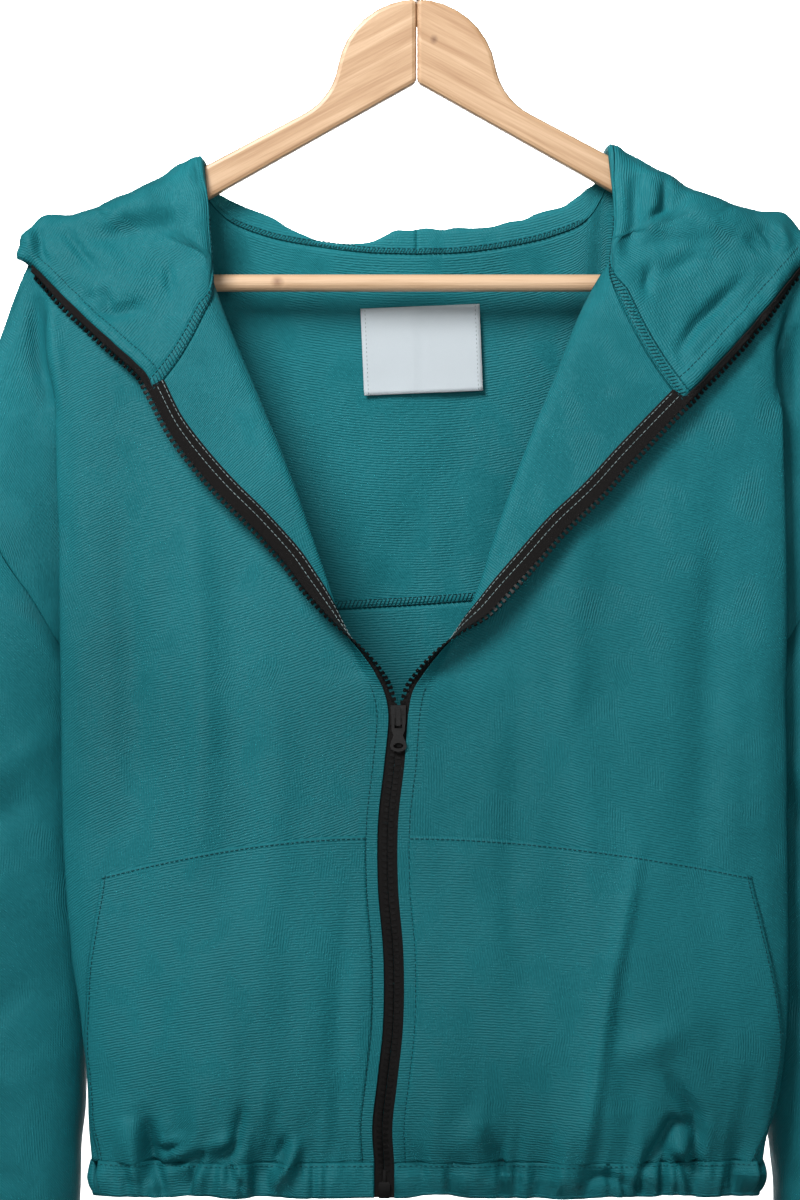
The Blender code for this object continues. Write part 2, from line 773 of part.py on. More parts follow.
def build_hood(finish, fronts, yoke):
    grids = {}
    for side in SIDES:
        seam = neck_seam(side, fronts[side], yoke)
        points = np.array([s[0] for s in seam])
        run = np.concatenate([[0], np.cumsum(np.linalg.norm(np.diff(points, axis=0), axis=1))])
        columns = []
        places = (run / run[-1] + np.linspace(0, 1, len(seam))) / 2
        for (point, leave, turned, turn_at), at in zip(seam, places):
            stages = hood_line(side, at, point, leave, turned, turn_at)
            keys = [stages[0][0], *(k for stage in stages for k in stage[1:])]
            if at == 1:
                for key in keys:
                    key[0] = SIDES[side] * (GAP + WALL) / 2
            fine = curve(keys, [8] * (len(keys) - 1))
            line, begin = [fine[:1]], 0
            for stage, count in zip(stages, HOOD_STEPS):
                end = begin + 8 * (len(stage) - 1)
                line.append(resample(fine[begin : end + 1], np.linspace(0, 1, count + 1))[1:])
                begin = end
            columns.append(np.concatenate(line))
        grid = np.array(columns).transpose(1, 0, 2)
        cloth("hood_" + side, grid, finish)
        grids[side] = grid
    return grids


def build_pockets(finish):
    """Pouches over the lower fronts, made from the fronts' own points moved out."""
    spans = (2, 3, 12, 12, 12)
    first = spans[0] + spans[1]
    for side in SIDES:
        lines = []
        for i in range(POCKET_STEPS[0] + 1):
            share = i / POCKET_STEPS[0]
            points = []
            for j in range(POCKET_STEPS[1] + 1):
                across = j / POCKET_STEPS[1]
                top = POCKET["down"][0] + (1 - across) * POCKET_SLOPE * 190
                down = top + share * (HEM_SEAM - 1.5 * SEAM - top)
                row = 1 + (down - UNDERARM) / (HEM_SEAM - UNDERARM)
                rows = (row - 0.004, row, row + 0.004)
                near = [front_row(side, r, spans)[first : first + 37] for r in rows]
                line = near[1]
                out = np.abs(line[:, 0] - line[0, 0])
                begin = float(read(POCKET, "mouth_from_ridge", down))
                at = np.interp(begin + across * (out[-1] - 1 - begin), out, np.arange(len(out)))
                k = min(int(at), len(out) - 2)
                spot = [n[k] + (n[k + 1] - n[k]) * (at - k) for n in near]
                normal = unit(np.cross(spot[2] - spot[0], near[1][k + 1] - near[1][k])) * -SIDES[side]
                puff = POCKET_PUFF * math.sin(math.pi * share) * math.sin(math.pi * (0.15 + 0.85 * across))
                points.append(spot[1] + normal * (WALL + POCKET_OFF + max(puff, 0)))
            lines.append(points)
        cloth("pocket_" + side, np.array(lines), finish)


def hem_path():
    """The hem seam from the zip's right edge round the back to its left edge."""
    row = 2
    right = front_row("right", row)[::-1]
    left = front_row("left", row)
    line = [right]
    for side, order in (("right", 1), ("left", -1)):
        outs = np.linspace(float(read(SIDE, "out", row)) + SIDE_SHIFT[side], 0, 12)
        line.append(np.array([back_at(side, o, row) for o in outs])[::order])
    return np.concatenate([line[0], line[1][1:], line[2][1:-1], left])


def build_hem(finish):
    count = HEM_WAVES * WAVE_STEPS
    path = resample(hem_path(), np.linspace(0, 1, count + 1))
    along = np.gradient(path, axis=0)
    outward = np.stack([-along[:, 1], along[:, 0], 0 * along[:, 0]], axis=1)
    outward /= np.linalg.norm(outward, axis=1)[:, None]
    if outward[count // 2][1] < 0:
        outward = -outward
    rows = []
    for share in (0, 1):
        height = HEM_WAVE_HEIGHT * (0.25 + 0.75 * share)
        wave = height * np.sin(2 * math.pi * np.arange(count + 1) / WAVE_STEPS)
        wave[:4] = wave[-4:] = 0
        row = path + outward * wave[:, None]
        row[:, 2] = -(HEM_SEAM + SEAM + share * (HEM - HEM_SEAM - SEAM))
        rows.append(row)
    cloth("hem_casing", np.array(rows), finish)


def tape_section(points, down_way, inward, inside):
    """Points across the tape, on the inner side of a row of cloth that ends at the zip."""
    line = points[::-1]
    run = np.concatenate([[0], np.cumsum(np.linalg.norm(np.diff(line, axis=0), axis=1))])
    at = np.linspace(0, inside, TAPE_STEPS + 1)
    section = np.stack([np.interp(at, run, line[:, k]) for k in range(3)], axis=1)
    section = np.concatenate([[section[0] + unit(line[0] - line[1]) * TAPE_BEYOND], section])
    across = -np.gradient(section, axis=0)
    return [p + unit(np.cross(down_way, a)) * inward * TAPE_OFF for p, a in zip(section, across)]


def build_tapes(finish, fronts, hoods):
    for side, inward in SIDES.items():
        grid, neck, start = fronts[side]
        last = grid.shape[0] - 1
        sections = []
        for i in range(last, neck - 1, -1):
            down_way = grid[min(i + 1, last), -1] - grid[max(i - 1, neck), -1]
            width = np.linalg.norm(np.diff(grid[i, start:], axis=0), axis=1).sum()
            sections.append(tape_section(grid[i, start:], down_way, inward, min(TAPE_INSIDE, 0.62 * width)))
        sections.insert(0, [p - np.array((0, 0, HEM - HEM_SEAM)) for p in sections[0]])
        hood = hoods[side]
        for r in range(1, sum(HOOD_STEPS[:2]) + 1):
            down_way = hood[r, 0] - hood[r + 1, 0]
            sections.append(tape_section(hood[r, 6::-1], down_way, inward, TAPE_INSIDE_HOOD))
        cloth("zip_tape_" + side, np.array(sections), finish, wall=TAPE)


def zip_y(down):
    """Depth of the closed zip's middle, behind the fronts' edges."""
    return float(read(PANEL, "front_y", 1 + (down - UNDERARM) / (HEM_SEAM - UNDERARM))) + TAPE_OFF


def build_chain(finish):
    """The closed zip's teeth as one plain run."""
    rows = np.array([r for r in rows_of_front("right")[0] if r > 1])
    row_downs = UNDERARM + (rows - 1) * (HEM_SEAM - UNDERARM)
    top = SLIDER_DOWN + SLIDER[1] / 2 + GAP
    lines = []
    for down in (top, *row_downs[row_downs > top], HEM):
        x = np.interp(down, row_downs, read(ZIP_LINE, "x", row_downs))
        y = np.interp(down, row_downs, [zip_y(d) for d in row_downs])
        lines.append([(x + off, y, -down) for off in (-CHAIN_HALF, 0, CHAIN_HALF)])
    cloth("zip_chain", np.array(lines), finish, wall=CHAIN_THICK)


def build_slider(finish):
    """A slider with two plates, the post between them and a bridge that carries the pull."""
    x = float(read(ZIP_LINE, "x", SLIDER_DOWN))
    y = zip_y(SLIDER_DOWN)
    half_x, half_z = SLIDER[0] / 2, SLIDER[1] / 2
    front = y - SLIDER_GAP / 2
    back = y + SLIDER_GAP / 2
    hinge_down = SLIDER_DOWN + 1.0
    parts = {
        "plate": ((-half_x, front - SLIDER_PLATE, -half_z), (half_x, front, half_z)),
        "back_plate": ((-half_x, back, -half_z), (half_x, back + SLIDER_PLATE, half_z)),
        "post": ((-POST[0] / 2, front - 0.2, half_z - POST[1]), (POST[0] / 2, back + 0.2, half_z - 0.3)),
    }
    face = front - SLIDER_PLATE
    middle = SLIDER_DOWN - hinge_down
    for name, low in (("upper", BRIDGE_REACH - BRIDGE_BAR), ("lower", -BRIDGE_REACH)):
        parts[name] = (
            (-BRIDGE_WIDE / 2, face - BRIDGE_CLEAR - 0.2, middle + low),
            (BRIDGE_WIDE / 2, face + 0.2, middle + low + BRIDGE_BAR),
        )
    parts["span"] = (
        (-BRIDGE_WIDE / 2, face - BRIDGE_CLEAR - BRIDGE_BAR, middle - BRIDGE_REACH),
        (BRIDGE_WIDE / 2, face - BRIDGE_CLEAR, middle + BRIDGE_REACH),
    )
    slider = None
    for name, (low, high) in parts.items():
        bm = bmesh.new()
        box(bm, low, high)
        o = from_bmesh("zip_slider" if slider is None else "slider_" + name, bm, finish)
        o.location = (x * MM, 0, -SLIDER_DOWN * MM)
        if slider is None:
            slider = o
        else:
            combine(slider, o, "UNION")
    return x, face - BRIDGE_CLEAR / 2, hinge_down


def build_pull(finish, hinge):
    """The pull tab, which swings on its top bar under the bridge."""
    half_top, half_end = PULL_TOP_WIDE / 2, PULL_END_WIDE / 2
    right = [(half_top, PULL_BAR / 2), (half_top, -7.5), (half_top - 1.2, -10.5), (half_end - 0.6, -14)]
    round_end = []
    for k in range(7):
        angle = math.pi * k / 6
        round_end.append((half_end * math.cos(angle), -PULL_LENGTH + 4 - 3.2 * math.sin(angle)))
    outline = [*right, *round_end, *((-px, pz) for px, pz in right[::-1])]
    pull = extrude("zip_pull", outline, -PULL_THICK / 2, PULL_THICK / 2, finish)
    wide, tall = PULL_WINDOW
    bm = bmesh.new()
    box(bm, (-wide / 2, -PULL_THICK, -PULL_BAR / 2 - tall), (wide / 2, PULL_THICK, -PULL_BAR / 2))
    window = from_bmesh("pull_window", bm, finish)
    hole = [
        (PULL_HOLE[0] / 2 * math.cos(a), -PULL_LENGTH + 4.2 + PULL_HOLE[1] / 2 * math.sin(a))
        for a in np.linspace(0, 2 * math.pi, 12, endpoint=False)
    ]
    eye = extrude("pull_hole", hole, -PULL_THICK, PULL_THICK, finish)
    place = (hinge[0] * MM, hinge[1] * MM, -hinge[2] * MM)
    for o in (pull, window, eye):
        o.location = place
    combine(pull, window, "DIFFERENCE")
    combine(pull, eye, "DIFFERENCE")


def build_label(finish):
    """A blank label on the inside of the yoke, made from the yoke's points moved in."""
    turn = math.radians(LABEL_TURN)
    lines = []
    for v in np.linspace(-0.5, 0.5, 4):
        line = []
        for u in np.linspace(-0.5, 0.5, 6):
            across, up = u * LABEL_SIZE[0], v * LABEL_SIZE[1]
            x = LABEL_MIDDLE[0] + across * math.cos(turn) - up * math.sin(turn)
            down = LABEL_MIDDLE[1] - across * math.sin(turn) - up * math.cos(turn)
            side = "left" if x > 0 else "right"
            y = float(back_y(side, abs(x), down)) - WALL / 2 - GAP - LABEL_WALL / 2 - 0.8
            line.append((x, y, -down))
        lines.append(line)
    cloth("label", np.array(lines), finish, wall=LABEL_WALL)


# The hanger


def arm_outline(sign):
    """An arm's outline from the notch along its underside, round its end and back over the head."""
    inner = GAP / 2
    bend = NOTCH + ARM_LOW_SLOPES[0] * ARM_LOW_BEND
    low = bend + ARM_LOW_SLOPES[1] * (ARM_CAP_OUT - ARM_LOW_BEND)
    high = arm_top(ARM_CAP_OUT)
    points = [(inner, NOTCH), (ARM_LOW_BEND, bend)]
    for k in range(7):
        angle = math.pi * k / 6
        out = ARM_CAP_OUT + ARM_CAP_LENGTH * math.sin(angle)
        points.append((out, (low + high) / 2 + (low - high) / 2 * math.cos(angle)))
    centre = HEAD_TOP + HEAD_RADIUS
    slope = math.atan(ARM_TOP_SLOPE)
    # The fillet's middle is its radius above the arm's top line and clear of the head's circle by it
    offset = HEAD_FILLET / math.cos(slope)
    reach = HEAD_RADIUS + HEAD_FILLET
    outs = np.linspace(40, 140, 2001)
    downs = arm_top(outs) - offset
    far = np.hypot(outs, downs - centre)
    k = int(np.argmin(np.abs(far - reach)))
    middle = (outs[k], downs[k])
    leave = math.atan2(math.cos(slope), -math.sin(slope))
    arrive = math.atan2(centre - middle[1], -middle[0])
    for angle in np.linspace(leave, arrive, 8):
        out = middle[0] + HEAD_FILLET * math.cos(angle)
        points.append((out, middle[1] + HEAD_FILLET * math.sin(angle)))
    begin = math.atan2(middle[1] - centre, middle[0])
    for angle in np.linspace(begin, -math.pi / 2, 9)[1:]:
        points.append((max(HEAD_RADIUS * math.cos(angle), inner), centre + HEAD_RADIUS * math.sin(angle)))
    return [(sign * out, -down) for out, down in points]


def build_hanger(wood, metal):
    for side, sign in SIDES.items():
        arm = extrude("hanger_arm_" + side, arm_outline(sign), -ARM_THICK / 2, ARM_THICK / 2, wood)
        soft = arm.modifiers.new("round", "BEVEL")
        soft.width = ARM_ROUND * MM
        soft.segments = 2
        soft.limit_method = "ANGLE"
        soft.angle_limit = math.radians(60)
        bar_end = (sign * (BAR_END + GAP), 0, -BAR_DOWN)
        hook_end = (0, 0, -HEAD_TOP - HOOK_DEPTH)
        for name, radius, low, high in (
            ("bar_bore_", BAR_RADIUS + GAP, (sign * 150, 0, -BAR_DOWN), bar_end),
            ("hook_bore_", HOOK_WIRE + GAP, hook_end, (0, 0, -HEAD_TOP + 5)),
        ):
            bore = round_bar(name + side, radius, low, high, 20, wood)
            combine(arm, bore, "DIFFERENCE")
    round_bar("hanger_bar", BAR_RADIUS, (-BAR_END, 0, -BAR_DOWN), (BAR_END, 0, -BAR_DOWN), 20, wood)
    centre = HOOK_INSIDE
    radius = HOOK_INSIDE + HOOK_WIRE
    points = [(0, 0, -HEAD_TOP - HOOK_DEPTH + GAP), (0, 0, -HOOK_STEM_TOP - 2)]
    bend = curve([(0, 0, -HOOK_STEM_TOP), (-5, 0, -HOOK_STEM_TOP + 5), (-13, 0, -centre - 15)], [4, 4])
    points += [tuple(p) for p in bend]
    for angle in np.radians(np.linspace(222, -25, 26)):
        points.append((radius * math.cos(angle), 0, -centre + radius * math.sin(angle)))
    tube("hanger_hook", points, HOOK_WIRE, metal)


def round_bar(name, radius, low, high, sides, finish):
    low, high = np.array(low, float), np.array(high, float)
    axis = unit(high - low)
    across = np.array((0.0, 1, 0))
    other = np.cross(axis, across)
    vertices = []
    for end in (low, high):
        for angle in np.linspace(0, 2 * math.pi, sides, endpoint=False):
            vertices.append(end + radius * (across * math.cos(angle) + other * math.sin(angle)))
    faces = [[i, (i + 1) % sides, (i + 1) % sides + sides, i + sides] for i in range(sides)]
    faces += [list(range(sides))[::-1], list(range(sides, 2 * sides))]
    o = mesh_object(name, vertices, faces, finish)
    o.data.set_sharp_from_angle(angle=math.radians(35))
    return o


def main():
    for o in list(bpy.data.objects):
        bpy.data.objects.remove(o)
    teal = material("teal_nylon", (0.018, 0.19, 0.21), 0.6)
    black = material("black_tape", (0.012, 0.011, 0.011), 0.7)
    metal = material("dark_metal", (0.03, 0.03, 0.032), 0.35, 0.9)
    white = material("white_label", (0.85, 0.86, 0.86), 0.7)
    wood = material("pale_wood", (0.62, 0.43, 0.25), 0.5)
    steel = material("hook_steel", (0.6, 0.6, 0.6), 0.25, 1.0)
    build_hanger(wood, steel)
    fronts = build_fronts(teal)
    yoke = build_backs(teal)
    build_sleeves(teal)
    hoods = build_hood(teal, fronts, yoke)
    build_pockets(teal)
    build_hem(teal)
    build_tapes(black, fronts, hoods)
    build_chain(black)
    hinge = build_slider(metal)
    build_pull(metal, hinge)
    build_label(white)


main()
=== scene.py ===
"""The looks of an anorak that hangs open-necked on a wooden hanger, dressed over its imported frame.

Sizes are in millimetres until they reach a mesh. "down" is a depth below the origin and "out" a distance
from the hanger's middle towards one side. "right" and "left" are the wearer's, so right is at -X, and the
front at -Y. A row of a front or back is named by its place: 0 at the shoulder line, 1 at the underarm, 2 at
the hem seam.
"""

import math

import bpy
import numpy as np
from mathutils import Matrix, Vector, noise


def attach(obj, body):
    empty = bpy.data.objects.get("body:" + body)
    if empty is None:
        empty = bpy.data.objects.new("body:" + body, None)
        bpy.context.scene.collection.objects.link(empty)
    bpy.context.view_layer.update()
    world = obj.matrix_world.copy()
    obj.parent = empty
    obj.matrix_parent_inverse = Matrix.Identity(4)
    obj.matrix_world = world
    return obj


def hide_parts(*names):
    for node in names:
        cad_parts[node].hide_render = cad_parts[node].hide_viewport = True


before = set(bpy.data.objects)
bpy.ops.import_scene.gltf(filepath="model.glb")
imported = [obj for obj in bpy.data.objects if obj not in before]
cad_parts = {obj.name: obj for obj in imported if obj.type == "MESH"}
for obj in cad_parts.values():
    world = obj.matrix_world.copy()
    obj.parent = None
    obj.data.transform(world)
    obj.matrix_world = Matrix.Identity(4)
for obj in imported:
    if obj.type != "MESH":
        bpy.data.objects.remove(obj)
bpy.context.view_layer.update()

# Sizes that the frame's cloth follows
MM = 0.001
WALL = 1.2
SIDES = {"right": -1, "left": 1}
UNDERARM = 455
HEM_SEAM = 718
HEM = 737.5
SIDE_SHIFT = {"right": 0, "left": 6}
ARM_TOP_AT_NECK = 151.1
ARM_NECK_OUT = 124
ARM_TOP_SLOPE = 0.53
NECK_POINT = {"right": 124.6, "left": 112}
FRONT_EASE = 45
EASE_DEPTH = 0.12
FRONT_SPANS = (2, 3, 3, 3, 3)
STRIP_STEPS = 8
BACK_ROUNDING = 6
LAPEL_TOP = {"right": 206, "left": 196}
LAPEL_BOW = 9
BOW_REACH = 25
FOLD_LENGTH = 12.6
FOLD_SHARE = 0.35
FOLD_FADE = 50
ZIP_HALF = 5.7
STRIP = 11
SLEEVE_SQUARE = 0.85
SLEEVE_STEPS = 40
HOOD_CLIMB = 6
HOOD_STEPS = (3, 3, 4, 4, 3)
HOOD_OFF = 7
POUCH = (7, 12, 12, -4)
HOOD_CORNER = 12.5
ARM_CLEAR = 7.5
HOOD_OVER = 3
BEHIND_ARM = 0.035
NECK_COLUMNS = 5
YOKE_ROW = 0.8
YOKE_TILT = 0.0002
TILT_ENDS = 1.4
TOP_ROWS = (0, 0.0002, 0.0037, 0.013)
TOP_DEPTHS = (0, 3.8, 6.4, 7.6)
YOKE_ROWS = (*TOP_ROWS, BEHIND_ARM, 0.11, 0.24, 0.4, 0.6, YOKE_ROW)
BODY_ROWS = (YOKE_ROW, 0.9, 1, 1.12, 1.3, 1.5, 1.7, 1.85, 2)
LABEL_SIZE = (69, 50)
LABEL_MIDDLE = (3, 254)
LABEL_TURN = 2.4
LABEL_OFF = 2.6
LABEL_CELLS = (28, 20)

# Sizes of the looks
SHELL = 0.45
CELL = 3.0
FINE_CELL = 2.3
FINE_FROM = 640
PLAIN_CELL = 4.5
CLOSED_FROM = 440
ZIP_TOP = 458
ZIP_SWEEP = 55
RIDGE_COLUMN = 5
GATHER_REACH = 27
GATHER_LIFT = 2.2
HEM_STEPS = 640
HEM_DRAW = 5
HEM_ROWS = 11
HEM_LAP = 0.6
HEM_AHEAD = 0.25
HEM_SECTIONS = 3
TAPE_INSIDE = 9
TAPE_INSIDE_HOOD = 1.5
TAPE_BEYOND = 2.8
TAPES_MEET = 452
TAPE_STEPS = 6
TAPE_OFF = 1.1
TAPE_STITCHES = (3.4, 6.1)
TOOTH_PITCH = 3.5
TEETH_FROM = 14
TOOTH = ((-0.3, 0.8, 0.6), (0.9, 0.7, 0.7), (1.9, 1.05, 0.72), (2.7, 0.85, 0.55))
END_BOX = (
    ((0, 2.8, 0.7), (0.8, 3.3, 1.1), (8, 3.3, 1.1), (9.2, 2.7, 0.7)),
    ((9, 0.8, 0.7), (15, 0.8, 0.8), (16, 0.5, 0.5)),
)
POCKET_OFF = 0.9
POCKET_PUFF = 2.2
POCKET_DROP = 23
POCKET_CURVE = 1.8
POCKET_INNER = 6.5
POCKET_CELLS = (84, 88)
POCKET_CUT = {"right": (0.16, 0.19), "left": (0.19, 0.2)}
TOPSTITCH = 6.5
TOPSTITCH_FROM = 446
EDGE_CELLS = 24
POCKET_EDGE = 12
YOKE_EDGE = 12
TUNNEL = {"right": (8, 1.4), "left": (12, 2.6)}
NECK_BAND = 7.5
BACK_NECK_BAND = 3.4
YOKE_BAND = 5.5
BAND_LIFT = 0.8
CREASE = 1.5
LOW_CREASE = 0.6
LOW_CREASE_FROM = 660
SEAM_FADE = 18
NECK_FADE = 25
FOLD_CALM = 22
ZIP_CALM = 30
HEM_END = 15
CURVE_STEPS = 8
OVER_ARMS = 178
CUFF_STEPS = 150
HANGER_ARMS = ("hanger_arm_right", "hanger_arm_left")


def table(names, *rows):
    """A short table as a column of numbers for each name."""
    return dict(zip(names.split(), np.array(rows, float).T))


# Shoulder line beyond the hanger's arm
SHOULDER_END = table(
    "out down",
    *((205, 192.7), (208, 193), (212, 194.2), (218, 198.5)),
    *((224, 209), (231, 226), (240, 251), (263, 312)),
)

# Armhole and side seam, where fronts and backs end
SIDE = table(
    "row out front_y back_y",
    *((row, 263, -y, y) for row, y in zip(TOP_ROWS, TOP_DEPTHS)),
    (0.035, 262.5, -8.8, 9),
    (0.07, 261, -11, 12),
    (0.165, 257, -14, 19),
    (0.33, 250, -17, 25),
    (0.5, 243, -19, 29),
    (0.627, 236, -20, 31),
    (0.8745, 206, -14, 26),
    (1, 184, 8, 8),
    (1.25, 179, 8, 8),
    (1.78, 178, 8, 8),
    (2, 177, 4, 4),
)

# Front and back panels: the fold beside the sleeve, and the depths
PANEL = table(
    "row valley valley_y ridge_right ridge_left ridge_y front_y back_y",
    *((row, 226, -y, 204, 204, -y, -y, y) for row, y in zip(TOP_ROWS, TOP_DEPTHS)),
    (0.035, 226, -8.6, 204, 204, -8.6, -8.6, 8.8),
    (0.07, 224, -10.8, 205, 205, -11, -10.5, 11),
    (0.165, 214, -13, 206, 208, -17, -17, 16),
    (0.33, 203, -14, 206, 209, -23, -27, 23),
    (0.5, 196, -14, 205, 209, -26, -34, 29),
    (0.82, 187, -13, 203, 209, -29, -42, 36),
    (1, 182, -10, 202, 209, -30, -45, 39),
    (1.25, 181, -9, 201, 210, -31, -47, 42),
    (1.5, 181, -9, 197, 210, -31, -49, 44),
    (1.65, 181, -9, 192, 209.5, -31, -50, 45),
    (1.78, 181, -10, 188.5, 207, -31, -50, 45),
    (1.9, 180, -13, 186, 202, -30, -48, 44),
    (2, 180, -14, 185, 193, -27, -43, 40),
)

# Lapel strip: its start, its width to the sewn edge, how low that edge hangs and how far it turns over
LAPEL = {
    "right": table(
        "down start width edge_down turn",
        (150.1, 124.6, 12, 152, 178),
        (178, 123, 30, 240, 178),
        (206, 121, 41, 281, 178),
        (243, 107.5, 41, 305.5, 178),
        (284, 91, 41.5, 327, 177),
        (316, 78, 36, 345.6, 174),
        (368, 59, 20, 379, 165),
        (406, 46.5, 14, 408.6, 120),
        (422, 41, 12.5, 422, 84),
        (438, 34, 11.5, 438, 42),
        (452, 29, 11, 452, 8),
        (458, 27, 11, 458, 0),
    ),
    "left": table(
        "down start width edge_down turn",
        (143.4, 112, 12, 146, 178),
        (170, 116, 34, 240, 178),
        (196, 115, 48, 287, 178),
        (213, 103, 51, 297, 178),
        (243, 92, 47, 311, 178),
        (279, 76, 46, 330.6, 177),
        (318, 62.4, 39, 351, 175),
        (348, 51, 30, 370.6, 172),
        (398, 34, 14, 406.7, 130),
        (418, 25, 12.5, 420, 88),
        (436, 16, 11.5, 436, 44),
        (452, 8, 11, 452, 8),
        (458, 6.5, 11, 458, 0),
    ),
}

# Line of the closed zip
ZIP_LINE = table(
    "down x",
    *((458, -10.2), (483, -11.9), (529, -16.4), (568, -16.4), (601, -13.3)),
    *((644, -13.6), (687, -18.9), (704, -19.8), (737, -15.3)),
)

# Largest folds of the fronts, as a half width, a height and two places as (out, down); troughs are below 0
FOLDS = {
    "right": (
        (17, -5, (150, 610), (146, 718)),
        (20, 3, (96, 560), (112, 718)),
        (14, -3, (37, 560), (43, 718)),
        (24, -3, (165, 380), (150, 610)),
    ),
    "left": (
        (20, 4, (119, 540), (95, 718)),
        (16, -5, (146, 660), (138, 718)),
        (15, -3, (45, 650), (24, 718)),
        (24, -3, (170, 380), (160, 600)),
    ),
}

# Sleeve rings from the armhole down: the end by the body, the outer end, and the depths
SLEEVE = table(
    "inner inner_down outer outer_down front_y back_y",
    (187, 460, 279, 350, -24, 36),
    (189.5, 468, 292, 400, -25, 39),
    (191, 484, 300, 460, -26, 41),
    (191, 540, 304, 535, -26, 41),
    (192, 620, 304, 620, -25, 41),
    (193, 700, 301, 704, -24, 40),
    (195, 752, 296, 758, -22, 38),
    (203, 786, 284, 790, -14, 31),
)
CUFF = table("inner outer front_y back_y", (206, 281, -12, 29), (207, 280, -11, 28))
CUFF_SIZES = ((SLEEVE, -1), (CUFF, 0), (CUFF, 1))
CUFF_RINGS = ((0, 0, 788), (0.2, 1, 791.5), (0.45, 1, 798), (0.7, 2, 806), (0.88, 2, 812), (1, 2, 815))

# Hood: over the shoulder, down behind the back to the fold, and up again to the rim
HOOD = table(
    "place roll over roll_y fold fold_down rim rim_down",
    (0, 228, 14, -14, 219, 232, 214, 212),
    (0.04, 224, 19, -8, 214, 240, 210, 210),
    (0.09, 215, 18, -2, 204, 256, 202, 208),
    (0.14, 200, 13, 0, 194, 270, 196, 211),
    (0.28, 176, 7.5, 0, 164, 308, 166, 223),
    (0.4, 159, 6.6, 1, 138, 340, 140, 237),
    (0.53, 143, 6.5, 2, 108, 366, 110, 248),
    (0.62, 133, 6.5, 4, 86, 382, 88, 254),
    (0.8, 60, 6, 20, 48, 398, 50, 262),
    (1, 0, 6, 24, 0, 408, 0, 268),
)
HOOD_RISE = table(
    "place rise turn follow", (0, 4, 4, 0), (0.3, 4, 4, 0), (0.54, 4, 3, 1), (0.7, 8, 3, 1), (1, 13, 4, 0)
)
BACK_NECK = table("out down", (0, 199), (30, 198), (59, 194.5), (88, 188.5), (110, 179))

# Pockets: their top seam, and the slanting mouth beside the side fold
POCKET = table(
    "down mouth_from_ridge", (532, 26), (553, 24), (585, 17), (625, 8), (660, 3), (690, 3), (717, 6)
)


def read(columns, name, at):
    """A column of a table at a place along its first one, by a smooth curve that never overshoots."""
    x = columns[next(iter(columns))]
    y = columns[name]
    step = np.diff(x)
    slope = np.diff(y) / step
    grade = np.zeros_like(y)
    grade[0] = slope[0]
    grade[-1] = slope[-1]
    for i in range(1, len(x) - 1):
        if slope[i - 1] * slope[i] > 0:
            before = 2 * step[i] + step[i - 1]
            after = step[i] + 2 * step[i - 1]
            grade[i] = (before + after) / (before / slope[i - 1] + after / slope[i])
    at = np.clip(at, x[0], x[-1])
    i = np.clip(np.searchsorted(x, at, side="right") - 1, 0, len(step) - 1)
    t = (at - x[i]) / step[i]
    start = (1 + 2 * t) * (1 - t) ** 2 * y[i] + t * (1 - t) ** 2 * step[i] * grade[i]
    return start + t * t * (3 - 2 * t) * y[i + 1] + t * t * (t - 1) * step[i] * grade[i + 1]


def unit(v):
    return v / np.linalg.norm(v)


def curve(keys, steps):
    """Points on a smooth curve through the keys, with so many steps in each span."""
    keys = [np.array(k, float) for k in keys]
    ends = [2 * keys[0] - keys[1], *keys, 2 * keys[-1] - keys[-2]]
    points = [keys[0]]
    for a, b, c, d, count in zip(ends, ends[1:], ends[2:], ends[3:], steps):
        gaps = [math.sqrt(np.linalg.norm(q - p)) + 1e-6 for p, q in ((a, b), (b, c), (c, d))]
        leave = (b - a) / gaps[0] - (c - a) / (gaps[0] + gaps[1]) + (c - b) / gaps[1]
        reach = (c - b) / gaps[1] - (d - b) / (gaps[1] + gaps[2]) + (d - c) / gaps[2]
        for i in range(1, count + 1):
            t = i / count
            share = t * t * (3 - 2 * t)
            bend = t * (1 - t) * gaps[1] * ((1 - t) * leave - t * reach)
            points.append((1 - share) * b + share * c + bend)
    return np.array(points)


def run_of(points):
    """Length of a line up to each of its points."""
    return np.concatenate([[0], np.cumsum(np.linalg.norm(np.diff(points, axis=0), axis=1))])


def at_length(at, run, values):
    """Points, or what goes with them, at lengths along a line."""
    return np.stack([np.interp(at, run, values[:, k]) for k in range(3)], axis=-1)


def resample(points, places):
    """Points at the given shares of a line's length."""
    run = run_of(points)
    return at_length(np.asarray(places) * run[-1], run, points)


# Places on the garment


def arm_top(out):
    return ARM_TOP_AT_NECK + ARM_TOP_SLOPE * (out - ARM_NECK_OUT)


def shoulder(side, out):
    """Depth of the shoulder line; towards the neck it stays at the neck point's."""
    out = np.maximum(out, NECK_POINT[side])
    on_arm = arm_top(out) - WALL / 2 - 0.7
    return np.where(out < SHOULDER_END["out"][0], on_arm, read(SHOULDER_END, "down", out))


def row_down(side, out, row):
    """Depth of a row at a distance out."""
    if row <= 1:
        return (1 - row) * shoulder(side, out) + row * UNDERARM
    return np.full_like(np.asarray(out, float), UNDERARM + (row - 1) * (HEM_SEAM - UNDERARM))


def row_at(side, out, down):
    """The row that passes a place."""
    top = shoulder(side, out)
    upper = (down - top) / (UNDERARM - top)
    return np.where(down < UNDERARM, upper, 1 + (down - UNDERARM) / (HEM_SEAM - UNDERARM))


def front_y(side, out, down):
    return read(PANEL, "front_y", row_at(side, out, down))


def back_y(side, out, down):
    return read(PANEL, "back_y", row_at(side, out, down))


